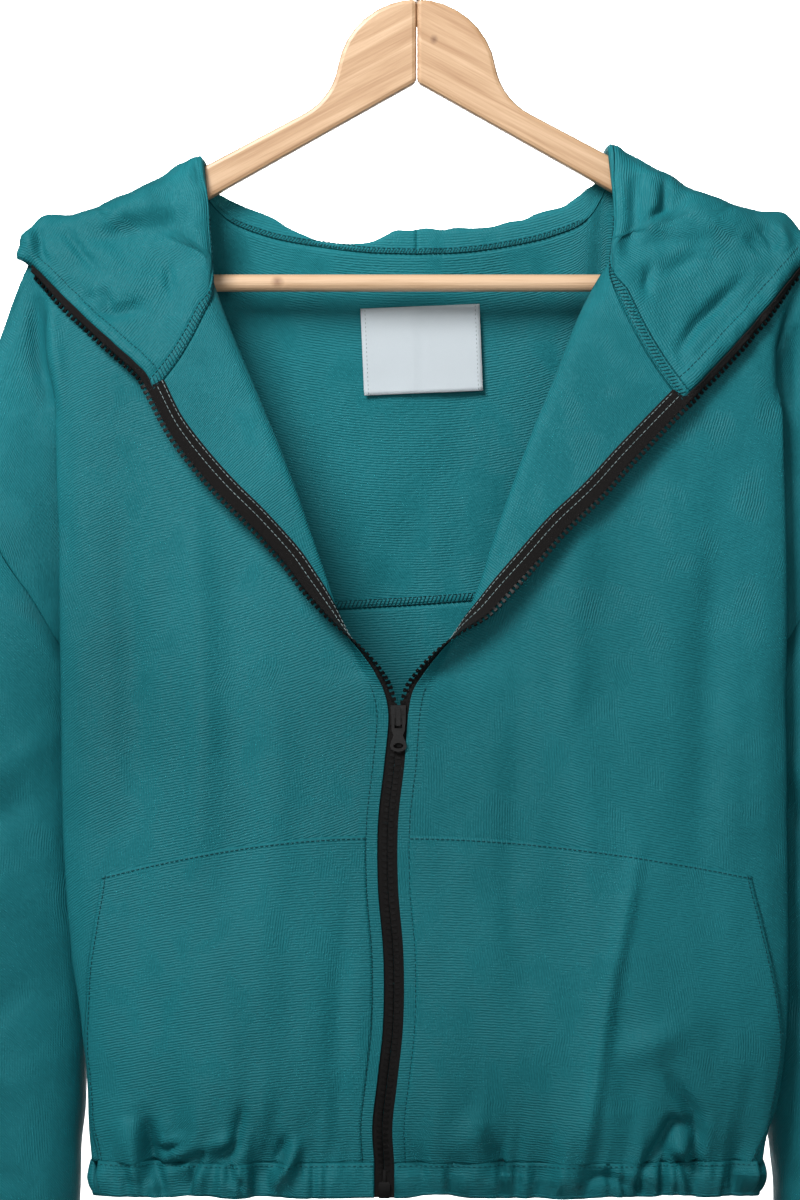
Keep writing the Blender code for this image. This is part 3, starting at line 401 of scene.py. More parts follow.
def drape(side, out, down):
    """How far the large folds lift a front out of its plain form."""
    lift = 0.0
    for half_width, height, (x0, d0), (x1, d1) in FOLDS[side]:
        along = (down - d0) / (d1 - d0)
        fade = np.clip((down - d0) / FOLD_FADE, 0, 1) * np.clip((d1 + FOLD_FADE - down) / FOLD_FADE, 0, 1)
        across = (out - (x0 + along * (x1 - x0))) / half_width
        lift = lift + height * fade * np.exp(-across * across)
    return lift


def zip_out(side, down):
    """Distance out of the closed zip's line, which may be below 0."""
    return SIDES[side] * read(ZIP_LINE, "x", down)


def strip_at(side, row):
    """The lapel strip of a row: its start, width, edge depth and turn."""
    down = float(row_down(side, 0, row))
    lapel = LAPEL[side]
    if down > lapel["down"][-1]:
        return zip_out(side, down) + ZIP_HALF + STRIP, STRIP, down, 0.0
    values = [float(read(lapel, name, down)) for name in ("start", "width", "edge_down", "turn")]
    return values[0], values[1], values[2], math.radians(values[3])


def front_row(side, row):
    """Points of a front's row from its side to the lapel's start, then over the fold to the zip."""
    ridge = read(PANEL, "ridge_" + side, row)
    y = read(PANEL, "front_y", row)
    start, width, edge_down, turn = strip_at(side, row)
    turn = max(turn, 0.001)
    shift = SIDE_SHIFT[side]
    ease = ridge - FRONT_EASE
    keys = [
        (read(SIDE, "out", row) + shift, read(SIDE, "front_y", row)),
        (read(PANEL, "valley", row) + shift, read(PANEL, "valley_y", row)),
        (ridge, read(PANEL, "ridge_y", row)),
        (ease, y + EASE_DEPTH * (read(PANEL, "ridge_y", row) - y)),
        ((ease + start) / 2, y),
        (start, y),
    ]
    flat = curve(keys, FRONT_SPANS)
    out = flat[:, 0]
    down = row_down(side, out, row)
    in_front = np.clip((ridge - 12 - out) / 20, 0, 1) * (np.arange(len(out)) >= sum(FRONT_SPANS[:2]))
    depth = flat[:, 1] - in_front * np.clip(row * 4, 0, 1) * drape(side, out, down)
    points = [(SIDES[side] * o, d, -z) for o, d, z in zip(out, depth, down)]
    edge_y, start_down = depth[-1], float(down[-1])
    bend = min(FOLD_SHARE * width, FOLD_LENGTH)
    half = STRIP_STEPS // 2 + 1
    places = [*np.linspace(0, bend, half)[1:], *np.linspace(bend, width, half)[1:]]
    low_end = math.exp(-(((start_down - LAPEL_TOP[side]) / BOW_REACH) ** 2))
    for along in places:
        on_bend = min(along, bend)
        angle = turn * on_bend / bend
        radius = bend / turn
        inward = radius * math.sin(angle) + (along - on_bend) * math.cos(turn)
        forward = radius * (1 - math.cos(angle)) + (along - on_bend) * math.sin(turn)
        share = along / width
        bow = LAPEL_BOW * math.sin(math.pi * share) * low_end
        drop = start_down + (edge_down - start_down) * share + bow
        follow = front_y(side, start - inward, drop) - front_y(side, start, start_down) if turn > 1 else 0.0
        points.append((SIDES[side] * (start - inward), edge_y - forward + float(follow), -drop))
    return np.array(points)


def rows_of_front(side):
    top = float(shoulder(side, 0))
    neck = (LAPEL_TOP[side] - top) / (UNDERARM - top)
    upper = [*TOP_ROWS, 0.045, 0.11, neck]
    middle = [*np.linspace(neck, 0.7, 6)[1:], 0.76, 0.82, 0.87, 0.91, 0.95, 0.985]
    lower = [1.03, 1.14, 1.26, 1.4, 1.55, 1.7, 1.82, 1.92, 2]
    return upper + middle + lower, len(upper) - 1


def front_grid(side):
    rows, neck = rows_of_front(side)
    grid = np.array([front_row(side, r) for r in rows])
    plain = grid.shape[1] - STRIP_STEPS
    grid[:neck, plain:] = np.nan
    return grid, neck, plain - 1


def back_at(side, out, row):
    """A place on the back, whose rows start at the shoulder line or at the neck edge."""
    if out >= NECK_POINT[side] - 0.5 or row > 1:
        down = float(row_down(side, out, row))
    else:
        share = (row - BEHIND_ARM) / (1 - BEHIND_ARM)
        down = (1 - share) * neck_down(side, out) + share * UNDERARM
    level = float(row_at(side, out, down))
    y = float(read(PANEL, "back_y", level))
    side_y = float(read(SIDE, "back_y", level))
    side_out = float(read(SIDE, "out", row)) + SIDE_SHIFT[side]
    return np.array((SIDES[side] * out, y - (y - side_y) * min(out / side_out, 1) ** BACK_ROUNDING, -down))


def neck_down(side, out):
    """Depth of the back's neck edge, which starts behind the arm."""
    wide = NECK_POINT[side] / NECK_POINT["right"]
    behind = float(row_down(side, NECK_POINT[side], BEHIND_ARM))
    outs = np.append(BACK_NECK["out"] * wide, NECK_POINT[side])
    return float(np.interp(out, outs, np.append(BACK_NECK["down"], behind)))


def back_outs(side):
    """Distances out of a back's points at the shoulder line, from the side to the middle."""
    neck = NECK_POINT[side]
    whole = float(SIDE["out"][0]) + SIDE_SHIFT[side]
    inner = [neck * share for share in (1, 0.88, 0.7, 0.47, 0.24, 0)]
    return np.array([whole, 244, 226, 217, 211, 205, 177, 150, *inner])


def back_grid(rows):
    """Rows of points across the back, with the places above the neck edge left out."""
    lines = []
    for row in rows:
        halves = {}
        for side in SIDES:
            outs = back_outs(side)
            points = []
            for out in outs:
                missing = row < BEHIND_ARM and out < NECK_POINT[side]
                tilted = row - yoke_tilt(row) * SIDES[side] * out
                narrow = (float(read(SIDE, "out", tilted)) + SIDE_SHIFT[side]) / outs[0]
                there = back_at(side, out * (narrow if row > BEHIND_ARM else 1), tilted)
                points.append(np.full(3, np.nan) if missing else there)
            halves[side] = points
        lines.append(halves["right"] + halves["left"][-2::-1])
    return np.array(lines)


def yoke_tilt(row):
    """Slant of a back's row, which is largest at the yoke seam."""
    if row <= YOKE_ROW:
        return YOKE_TILT * (row / YOKE_ROW) ** 3
    return YOKE_TILT * max(TILT_ENDS - row, 0) / (TILT_ENDS - YOKE_ROW)


def armhole(side):
    """The armhole's edge, from the shoulder along the front to the underarm and back up behind."""
    rows = np.array([*TOP_ROWS, *np.linspace(BEHIND_ARM, 1, 40)])
    halves = []
    for column in ("front_y", "back_y"):
        out = read(SIDE, "out", rows) + SIDE_SHIFT[side]
        down = np.array([float(row_down(side, o, r)) for o, r in zip(out, rows)])
        line = np.stack([SIDES[side] * out, read(SIDE, column, rows), -down], axis=1)
        halves.append(resample(line, np.linspace(0, 1, SLEEVE_STEPS // 2 + 1)))
    front, back = halves
    return np.concatenate([front[:-1], back[:0:-1]])


def sleeve_ring(side, inner, outer, front, back, steps=SLEEVE_STEPS):
    """A flattened ring between two ends, given as (out, down), that starts at its outer end."""
    shift = SIDE_SHIFT[side]
    points = []
    for k in range(steps):
        angle = 2 * math.pi * k / steps
        across = (1 + math.cos(angle)) / 2
        swell = abs(math.sin(angle)) ** SLEEVE_SQUARE * math.copysign(1, math.sin(angle))
        half = (back - front) / 2
        out = inner[0] + across * (outer[0] - inner[0])
        down = inner[1] + across * (outer[1] - inner[1])
        points.append((SIDES[side] * (out + shift), (front + back) / 2 - half * swell, -down))
    return np.array(points)


def neck_seam(side, front, yoke):
    """Points along the neck seam from the zip to the back's middle, and how the hood leaves each of them.

    Each is (place, way out of the panel, share of the turn already made, and the turn as its middle,
    the way out, the outer side and the way along the seam that it climbs).
    """
    grid, neck, start = front
    outer = -SIDES[side]
    seam = []
    fold = None
    for i in [*range(neck, 3, -1), 2, 0]:
        edge = unit(grid[i, start] - grid[i, start - 1])
        along = unit(grid[max(i - 1, 0), start] - grid[max(i - 1, 0) + 1, start])
        climb = along * max(1 - 0.5 * (neck - i), 0)
        turn = (grid[i, start], edge, unit(np.cross(edge, along)) * outer, climb)
        leave = edge if fold else unit(edge + 2 * along)
        fold = fold or turn
        seam.append((grid[i, start], leave, 0, turn))
    arc = (grid.shape[1] - 1 - start) // 2
    for j in range(start + 1, grid.shape[1]):
        up = unit(grid[neck, j] - grid[neck + 1, j])
        seam.insert(0, (grid[neck, j], up, min((j - start) / arc, 1), fold))
    middle = yoke.shape[1] // 2
    step = SIDES[side]
    at_neck = middle + step * NECK_COLUMNS
    top = YOKE_ROWS.index(BEHIND_ARM)
    for i in (2, top):
        point = yoke[i, at_neck]
        edge = unit(point - yoke[i, at_neck + step])
        along = unit(yoke[i + 1, at_neck] - point)
        seam.append((point, edge, 0, (point, edge, unit(np.cross(edge, along)) * outer, along * 0)))
    for j in range(at_neck - step, middle - step, -step):
        point = yoke[top, j]
        up = unit(point - yoke[top + 1, j])
        seam.append((point, up, 0, (point, up, np.array((0.0, 1, 0)), up * 0)))
    return seam


def hood_line(side, place, point, leave, turned, turn_at):
    """Keys of one line of the hood from the neck seam to the rim, as stages that share their ends.

    The stages are the turn at the seam, the way up to the shoulder, the roll over it, the way down to the
    pouch's fold, and the way up to the rim.
    """
    sign = SIDES[side]
    rise = float(read(HOOD_RISE, "rise", place))
    radius = float(read(HOOD_RISE, "turn", place))
    middle, edge, normal, along = turn_at
    turn = [point]
    for share in (0.5, 1):
        if turned < 1:
            angle = math.pi * (turned + (1 - turned) * share)
            bent = edge * rise * math.sin(angle) + normal * radius * (1 - math.cos(angle))
            turn.append(middle + bent + along * HOOD_CLIMB * (1 - turned) * share)
        else:
            turn.append(point + leave * HOOD_CLIMB * 2 * share)
    end = turn[-1]
    roll, over_by, roll_y, fold, fold_down, rim, rim_down = (
        float(read(HOOD, name, place)) for name in list(HOOD)[1:]
    )
    roll += (NECK_POINT[side] - NECK_POINT["right"]) * float(read(HOOD_RISE, "follow", place))
    roll_down = float(shoulder(side, roll)) - over_by
    top = np.array((sign * roll, roll_y, -roll_down))

    def corner(out, y):
        down = max(float(shoulder(side, out)) - HOOD_OVER, roll_down + HOOD_OVER)
        return np.array((sign * out, y, -down))

    if point[1] < -ARM_CLEAR:
        out = (sign * end[0] + roll) / 2
        down = (-end[2] + roll_down) / 2
        half_way = np.array((sign * out, float(front_y(side, out, down)) - HOOD_OFF, -down))
        reach = [end, half_way, corner(0.97 * roll, -HOOD_CORNER)]
        over = [reach[-1], top, corner(0.98 * roll, HOOD_CORNER)]
    elif end[1] < ARM_CLEAR:
        reach = [end, (end + top) / 2]
        over = [reach[-1], top, corner(0.98 * roll, HOOD_CORNER)]
    elif point[1] < ARM_CLEAR:
        over = [corner(0.97 * roll, HOOD_CORNER) + np.array((0, 2.5, -4))]
        reach = [end, (end + over[0]) / 2]
        over.insert(0, reach[-1])
    else:
        reach = [end, end + np.array((0, 1, -5))]
        over = [reach[-1], end + np.array((0, 3, -16))]
    begin = over[-1]

    def behind(share, off):
        out = (1 - share) * sign * begin[0] + share * fold
        down = (1 - share) * -begin[2] + share * fold_down
        return np.array((sign * out, float(back_y(side, out, down)) + off, -down))

    down_back = [begin, behind(0.35, POUCH[0]), behind(0.7, POUCH[0]), behind(1, POUCH[1])]
    half_way = np.array((sign * (fold + rim) / 2, down_back[-1][1] + POUCH[2], -(fold_down + rim_down) / 2))
    up_again = [down_back[-1], half_way, np.array((sign * rim, half_way[1] + POUCH[3], -rim_down))]
    return turn, reach, over, down_back, up_again


def tape_section(points, down_way, inward, inside, beyond):
    """Points across the tape on the inner side of a row that ends at the zip, and the ways there."""
    line = points[::-1]
    section = at_length(np.linspace(0, inside, TAPE_STEPS + 1), run_of(line), line)
    section = np.concatenate([[section[0] + unit(line[0] - line[1]) * beyond], section])
    across = -np.gradient(section, axis=0)
    ways = np.array([unit(np.cross(down_way, a)) * inward for a in across])
    return section + ways * TAPE_OFF, ways


def zip_y(down):
    """Depth of the closed zip's middle, behind the fronts' edges."""
    return float(read(PANEL, "front_y", 1 + (down - UNDERARM) / (HEM_SEAM - UNDERARM))) + TAPE_OFF


# Making meshes


def span_steps(grid, axis, cell):
    gaps = np.linalg.norm(np.diff(grid, axis=axis), axis=2)
    longest = np.nanmax(gaps, axis=1 - axis)
    return [max(1, math.ceil(g / c)) for g, c in zip(longest, np.broadcast_to(cell, longest.shape))]


def refine_line(line, steps):
    """A line with more points in each span on a smooth curve; a point that isn't there stays so."""
    fine = np.full((sum(steps) + 1, 3), np.nan)
    there = np.flatnonzero(~np.isnan(line[:, 0]))
    first, last = there[0], there[-1]
    begin = sum(steps[:first])
    part = curve(line[first : last + 1], steps[first:last]) if last > first else line[first : first + 1]
    fine[begin : begin + len(part)] = part
    return fine


def refine(grid, cell, ring=False, row_cell=None):
    """A grid with cells of about a size, through the same points, and where its rows and columns went."""
    count = grid.shape[1]
    if ring:
        grid = np.concatenate([grid[:, -2:], grid, grid[:, :3]], axis=1)
    across = span_steps(grid, 1, cell)
    grid = np.array([refine_line(row, across) for row in grid])
    if ring:
        grid = grid[:, sum(across[:2]) : sum(across[: 2 + count])]
    along = span_steps(grid, 0, cell if row_cell is None else row_cell)
    fine = np.array([refine_line(grid[:, j], along) for j in range(grid.shape[1])]).transpose(1, 0, 2)
    return fine, np.cumsum([0, *along]), np.cumsum([0, *across])


def slopes(grid, axis, ring=False):
    """Steps between a grid's points along an axis, taken on one side where the other isn't there."""
    ahead = np.roll(grid, -1, axis) - grid
    behind = grid - np.roll(grid, 1, axis)
    if not ring:
        index = [slice(None)] * 3
        index[axis] = -1
        ahead[tuple(index)] = np.nan
        index[axis] = 0
        behind[tuple(index)] = np.nan
    ahead = np.where(np.isnan(ahead), behind, ahead)
    behind = np.where(np.isnan(behind), ahead, behind)
    return (ahead + behind) / 2


def normals(grid, ring=False):
    n = np.cross(slopes(grid, 1, ring), slopes(grid, 0))
    return n / (np.linalg.norm(n, axis=2)[..., None] + 1e-9)


def lengths(grid):
    """Lengths of cloth from each row's first point, and from each column's."""
    across = np.nan_to_num(np.linalg.norm(np.diff(grid, axis=1), axis=2)).cumsum(axis=1)
    along = np.nan_to_num(np.linalg.norm(np.diff(grid, axis=0), axis=2)).cumsum(axis=0)
    return np.pad(across, ((0, 0), (1, 0))), np.pad(along, ((1, 0), (0, 0)))


def from_end(lines, distance, values=None):
    """Points, or what goes with them, at a length back from the last point of each line."""
    found = []
    reaches = np.broadcast_to(distance, len(lines))
    for line, worth, reach in zip(lines, lines if values is None else values, reaches):
        run = run_of(line[::-1])
        found.append(at_length(min(reach, run[-1]), run, worth[::-1]))
    return np.array(found)


def near_end(distance, reach):
    return np.clip(distance / reach, 0, 1)


def rough(points, lumps):
    """Lift by smooth lumps, each as a height, a size along X, Y and Z, and a seed."""
    lift = 0.0
    for height, size, seed in lumps:
        spots = (np.nan_to_num(points) / np.array(size) + seed).reshape(-1, 3)
        lift = lift + height * np.array([noise.noise(Vector(p)) for p in spots]).reshape(points.shape[:-1])
    return lift


def marked(points, marks):
    """Lift by listed creases: each mark is a half width, a height and places as (x, down)."""
    x, down = points[..., 0], -points[..., 2]
    lift = np.zeros(x.shape)
    for half, height, *spots in marks:
        spots = np.array(spots, float)
        gaps = np.linalg.norm(np.diff(spots, axis=0), axis=1)
        nearest = np.full(x.shape, 1e9)
        place = np.zeros(x.shape)
        run = 0.0
        for (ax, ad), (bx, bd), gap in zip(spots, spots[1:], gaps):
            t = np.clip(((x - ax) * (bx - ax) + (down - ad) * (bd - ad)) / gap**2, 0, 1)
            far = np.hypot(x - ax - t * (bx - ax), down - ad - t * (bd - ad))
            place = np.where(far < nearest, (run + t * gap) / gaps.sum(), place)
            nearest = np.minimum(nearest, far)
            run += gap
        fade = np.sin(math.pi * np.clip(place, 0.02, 0.98)) ** 0.6
        lift += height * fade * np.exp(-((nearest / half) ** 2))
    return lift


def gathers(points):
    """Uneven puckers of an elastic edge, which lean and merge on their way up."""
    run = points[..., 0] + 0.8 * points[..., 1]
    spots = np.stack([run, 0 * run, points[..., 2]], axis=-1)
    return rough(spots, PUCKERS)


def mesh_object(name, vertices, faces, finish, uvs=None):
    mesh = bpy.data.meshes.new(name)
    mesh.from_pydata((np.asarray(vertices) * MM).tolist(), [], faces)
    mesh.materials.append(finish)
    mesh.shade_smooth()
    if uvs is not None:
        layer = mesh.uv_layers.new(name="cloth")
        index = np.empty(len(mesh.loops), np.int32)
        mesh.loops.foreach_get("vertex_index", index)
        layer.data.foreach_set("uv", (np.asarray(uvs)[index] * MM).ravel())
    o = bpy.data.objects.new(name, mesh)
    bpy.context.scene.collection.objects.link(o)
    return o


def grid_object(name, grid, finish, wall=SHELL, ring=False, even_from=None):
    """A thin shell through a grid of points, with its cloth's own lengths as its texture's places."""
    rows, columns = grid.shape[:2]
    there = ~np.isnan(grid[..., 0])
    number = np.cumsum(there).reshape(rows, columns) - 1
    faces = []
    for i in range(rows - 1):
        for j in range(columns if ring else columns - 1):
            k = (j + 1) % columns
            if there[i, j] and there[i, k] and there[i + 1, j] and there[i + 1, k]:
                faces.append([int(number[c]) for c in ((i, j), (i, k), (i + 1, k), (i + 1, j))])
    u, v = lengths(grid)
    if even_from is not None:
        v[:, even_from:] = v[:, even_from, None]
    o = mesh_object(name, grid[there], faces, finish, np.stack([u[there], v[there]], axis=1))
    solid = o.modifiers.new("wall", "SOLIDIFY")
    solid.thickness = wall * MM
    solid.offset = 0
    return o


def block(vertices, faces, place, axes, sections):
    """A small closed solid along an axis, by sections of (place along, half width, half thickness)."""
    ahead, across, out = axes
    base = len(vertices)
    for at, half, thick in sections:
        for a, b in ((-1, -1), (1, -1), (1, 1), (-1, 1)):
            vertices.append(place + ahead * at + across * half * a + out * thick * b)
    last = base + 4 * len(sections) - 4
    for ring in range(base, last, 4):
        for c in range(4):
            d = (c + 1) % 4
            faces.append([ring + c, ring + d, ring + 4 + d, ring + 4 + c])
    faces += [[base + 3, base + 2, base + 1, base], [last, last + 1, last + 2, last + 3]]


def sewn(name, runs, finish, length=2.2, pitch=3.2, thick=0.2, lift=0.3, slant=0.0):
    """Stitches along runs of (points, ways out of the cloth), each a short thread that dips at its ends."""
    shape = ((-0.5, -0.3, 0.5), (-0.28, 0.8, 1), (0.28, 0.8, 1), (0.5, -0.3, 0.5))
    vertices, faces = [], []
    for path, outs in runs:
        run = run_of(path)
        for at in np.arange(pitch / 2, run[-1], pitch):
            place, out = (at_length(at, run, line) for line in (path, outs))
            way = unit(at_length(at + 0.4, run, path) - at_length(at - 0.4, run, path))
            out = unit(out - way * (out @ way))
            way = way * math.cos(slant) + np.cross(out, way) * math.sin(slant)
            side = np.cross(out, way)
            base = len(vertices)
            sections = [(length * a, thick * wide, thick * wide) for a, _, wide in shape]
            block(vertices, faces, place + out * lift, (way, side, out), sections)
            for r, (_, high, _) in enumerate(shape):
                for c in range(base + 4 * r, base + 4 * r + 4):
                    vertices[c] = vertices[c] + out * thick * high
    return mesh_object(name, vertices, faces, finish)


# Finishes


class Finish:
    """A material under way: its nodes, and the shader that they feed."""

    def __init__(self, name, color, roughness, **constants):
        self.material = bpy.data.materials.new(name)
        self.material.use_nodes = True
        self.tree = self.material.node_tree
        self.shader = self.tree.nodes["Principled BSDF"]
        constants = {"Base_Color": (*color, 1), "Roughness": roughness, **constants}
        for key, value in constants.items():
            self.shader.inputs[key.replace("_", " ")].default_value = value

    def feed(self, **sources):
        for key, source in sources.items():
            self.tree.links.new(source, self.shader.inputs[key.replace("_", " ")])

    def node(self, kind, values=None, sources=None, **settings):
        n = self.tree.nodes.new("ShaderNode" + kind)
        for key, value in settings.items():
            setattr(n, key, value)
        for key, value in (values or {}).items():
            n.inputs[key].default_value = value
        for key, source in (sources or {}).items():
            self.tree.links.new(source, n.inputs[key])
        return n

    def places(self, scale, kind, turn=0.0):
        """Texture places, turned and then scaled to repeats to the metre along each axis."""
        vector = self.node("TexCoord").outputs[kind]
        for values in ({"Rotation": (0, turn, 0)}, {"Scale": scale}):
            vector = self.node("Mapping", values, {"Vector": vector}).outputs["Vector"]
        return vector

    def noise(self, scale, detail=2.0, roughness=0.5, distortion=0.0, kind="Object", turn=0.0):
        values = {"Scale": 1.0, "Detail": detail, "Roughness": roughness, "Distortion": distortion}
        return self.node("TexNoise", values, {"Vector": self.places(scale, kind, turn)}).outputs["Fac"]

    def bands(self, scale, direction, distortion):
        """Ribs across or along the cloth."""
        values = {"Scale": 1.0, "Distortion": distortion, "Detail": 2.0, "Detail Scale": 1.3}
        vector = {"Vector": self.places(scale, "UV")}
        return self.node("TexWave", values, vector, bands_direction=direction).outputs["Fac"]

    def ramp(self, factor, *stops):
        """Colours at places along a factor."""
        n = self.node("ValToRGB", sources={"Fac": factor})
        elements = n.color_ramp.elements
        while len(elements) < len(stops):
            elements.new(0.5)
        for element, (at, color) in zip(elements, stops):
            element.position = at
            element.color = (*color, 1)
        return n.outputs["Color"]

    def spread(self, factor, low, high, begin=0.0, end=1.0):
        values = {"From Min": begin, "From Max": end, "To Min": low, "To Max": high}
        return self.node("MapRange", values, {"Value": factor}).outputs["Result"]

    def plus(self, a, b, weight):
        return self.node("Math", {1: weight}, {0: b, 2: a}, operation="MULTIPLY_ADD").outputs["Value"]

    def bump(self, height, distance, strength=1.0):
        n = self.node("Bump", {"Distance": distance, "Strength": strength}, {"Height": height})
        self.feed(Normal=n.outputs["Normal"])


def nylon():
    """Thin crinkled nylon: short ribs across and along the cloth, in patches, with painted shade in the
    hollows and painted highlight on the crests.
    """
    f = Finish("crinkle_nylon", (0.0113, 0.16, 0.186), 0.5, Specular_IOR_Level=0.12)
    across = f.bands((170, 205, 1), "Y", 2.6)
    along = f.bands((210, 150, 1), "X", 2.6)
    patches = f.spread(f.noise((48, 48, 36)), 0.0, 1.0, 0.48, 0.68)
    ribs = f.node("Mix", sources={0: patches, 2: across, 3: along}).outputs[0]
    crinkle = f.noise((420, 480, 1), 3.0, 0.55, kind="UV")
    height = f.plus(ribs, crinkle, 2.2)
    # Colour: random cloud tone, plus painted shade in the crinkle's hollows and painted highlight on its
    # crests, taken from the bump height
    tone = f.plus(f.noise((7, 9, 5), 3.0), height, 0.14)
    shades = (0.45, (0.0085, 0.128, 0.148)), (0.73, (0.0113, 0.16, 0.186)), (1.0, (0.0145, 0.196, 0.228))
    f.feed(Base_Color=f.ramp(tone, *shades), Roughness=f.spread(crinkle, 0.42, 0.6))
    f.bump(f.plus(height, f.noise((75, 75, 60)), 2.2), 0.00024)
    return f.material


def woven(name, dark, light, scale, roughness, lift):
    """A close weave along a tape or label."""
    f = Finish(name, light, roughness, Specular_IOR_Level=0.2)
    weave = f.plus(f.bands(scale, "X", 0.6), f.bands(scale, "Y", 0.6), 0.8)
    fuzz = f.noise((900, 900, 900))
    height = f.plus(weave, fuzz, 0.5)
    f.feed(Base_Color=f.ramp(height, (0.3, dark), (1.0, light)))
    f.feed(Roughness=f.spread(fuzz, roughness - 0.1, roughness + 0.12))
    f.bump(height, lift, 0.8)
    return f.material


def thread(name, dark, light):
    f = Finish(name, light, 0.6, Specular_IOR_Level=0.15)
    twist = f.noise((700, 700, 700))
    f.feed(Base_Color=f.ramp(twist, (0.35, dark), (0.65, light)))
    f.bump(twist, 0.0002)
    return f.material


def hard(name, dark, light, gloss, grain, lift, **constants):
    """Moulded or cast pieces: a faint mottle in colour and gloss."""
    f = Finish(name, light, gloss[0], **constants)
    mottle = f.noise((grain, grain, grain), 3.0)
    wear = f.noise((grain / 6, grain / 6, grain / 6))
    f.feed(Base_Color=f.ramp(wear, (0.35, dark), (0.7, light)), Roughness=f.spread(mottle, *gloss))
    f.bump(mottle, lift)
    return f.material


def wood(name, turn, knot, knot_size, pale):
    """Pale varnished wood with its grain along the piece and one small knot."""
    f = Finish(name, (0.53, 0.34, 0.19), 0.4, Coat_Weight=0.15, Coat_Roughness=0.3)
    streaks = f.noise((7, 150, 150), 4.0, 0.6, 0.8, turn=turn)
    tone = f.plus(streaks, f.noise((40, 1100, 1100), 3.0, turn=turn), 0.45)
    shades = (0.45, (0.43, 0.245, 0.125)), (0.7, (0.55, 0.345, 0.195)), (0.95, (0.68, 0.46, 0.285))
    base = f.ramp(tone, *((at - pale, color) for at, color in shades))
    here = f.node("TexCoord").outputs["Object"]
    far = f.node("VectorMath", {1: [c * MM for c in knot]}, {0: here}, operation="DISTANCE")
    uneven = f.plus(far.outputs["Value"], f.noise((260, 260, 260)), 0.0022)
    reach = f.spread(uneven, 1.0, 0.0, 0.0, knot_size * MM)
    stain = f.ramp(streaks, (0.4, (0.2, 0.1, 0.06)), (0.6, (0.5, 0.3, 0.19)))
    sources = {"Factor": reach, 6: base, 7: stain}
    mix = f.node("Mix", {}, sources, data_type="RGBA", blend_type="MULTIPLY")
    f.feed(Base_Color=mix.outputs[2], Roughness=f.spread(tone, 0.5, 0.36))
    f.bump(tone, 0.0002)
    return f.material


NYLON = nylon()
TAPE = woven(
    "zip_tape_weave", (0.0035, 0.003, 0.003), (0.0135, 0.012, 0.0115), (900, 1100, 1), 0.65, 0.0002
)
LABEL = woven("label_weave", (0.72, 0.81, 0.87), (0.82, 0.9, 0.95), (1500, 1500, 1), 0.55, 0.00012)
PALE_THREAD = thread("pale_thread", (0.13, 0.2, 0.21), (0.3, 0.38, 0.38))
DARK_THREAD = thread("dark_thread", (0.003, 0.038, 0.046), (0.007, 0.076, 0.09))
TEETH = hard(
    "moulded_teeth",
    (0.0022, 0.002, 0.002),
    (0.0055, 0.005, 0.0048),
    (0.38, 0.52),
    700,
    0.0001,
    Specular_IOR_Level=0.16,
)
DARK_METAL = hard(
    "dark_metal",
    (0.003, 0.0028, 0.0028),
    (0.008, 0.0075, 0.0075),
    (0.3, 0.45),
    900,
    0.00006,
    Specular_IOR_Level=0.3,
)
STEEL = hard("hook_steel", (0.5, 0.5, 0.5), (0.68, 0.68, 0.67), (0.18, 0.32), 900, 0.00005, Metallic=1.0)


# Uneven cloth, each as a height, a size along X, Y and Z, and a seed
TRUNK_LUMPS = ((2.2, (44, 90, 150), 3.7), (0.8, (17, 60, 34), 11.2))
SLEEVE_LUMPS = ((1.4, (34, 40, 60), 5.1), (0.5, (14, 18, 22), 8.3))
HOOD_LUMPS = ((2.2, (30, 45, 26), 21.3), (1.3, (12, 20, 13), 2.9))
TUNNEL_LUMPS = ((0.7, (7, 7, 7), 6.2),)
PUCKERS = ((1.3, (5.5, 1, 30), 4.4), (2.8, (13, 1, 60), 9.7))

# Waves of the hem's lower edge, each as a height, a length and a start
HEM_WAVES = ((1.3, 19, 1), (0.8, 7.3, 0))

# Threads of each kind of sewing; the seam stitches' kind also draws painted shadow lines beside the seam
# bands
SEWING = {
    "seam_stitches_and_shadow_lines": dict(pitch=2.9, thick=0.19),
    "hem_stitches": dict(length=1.8, pitch=3.2, thick=0.13, lift=0.25),
    "seam_overlock": dict(length=4.8, pitch=2.3, thick=0.26, lift=0.1, slant=1.1),
    "neck_overlock": dict(length=2.6, pitch=1.7, thick=0.2, lift=0.1, slant=1.0),
    "tape_stitches": dict(length=2.4, pitch=3.0, thick=0.17, lift=0.42),
    "label_stitches": dict(length=1.2, pitch=2.4, thick=0.12, lift=0.15),
}
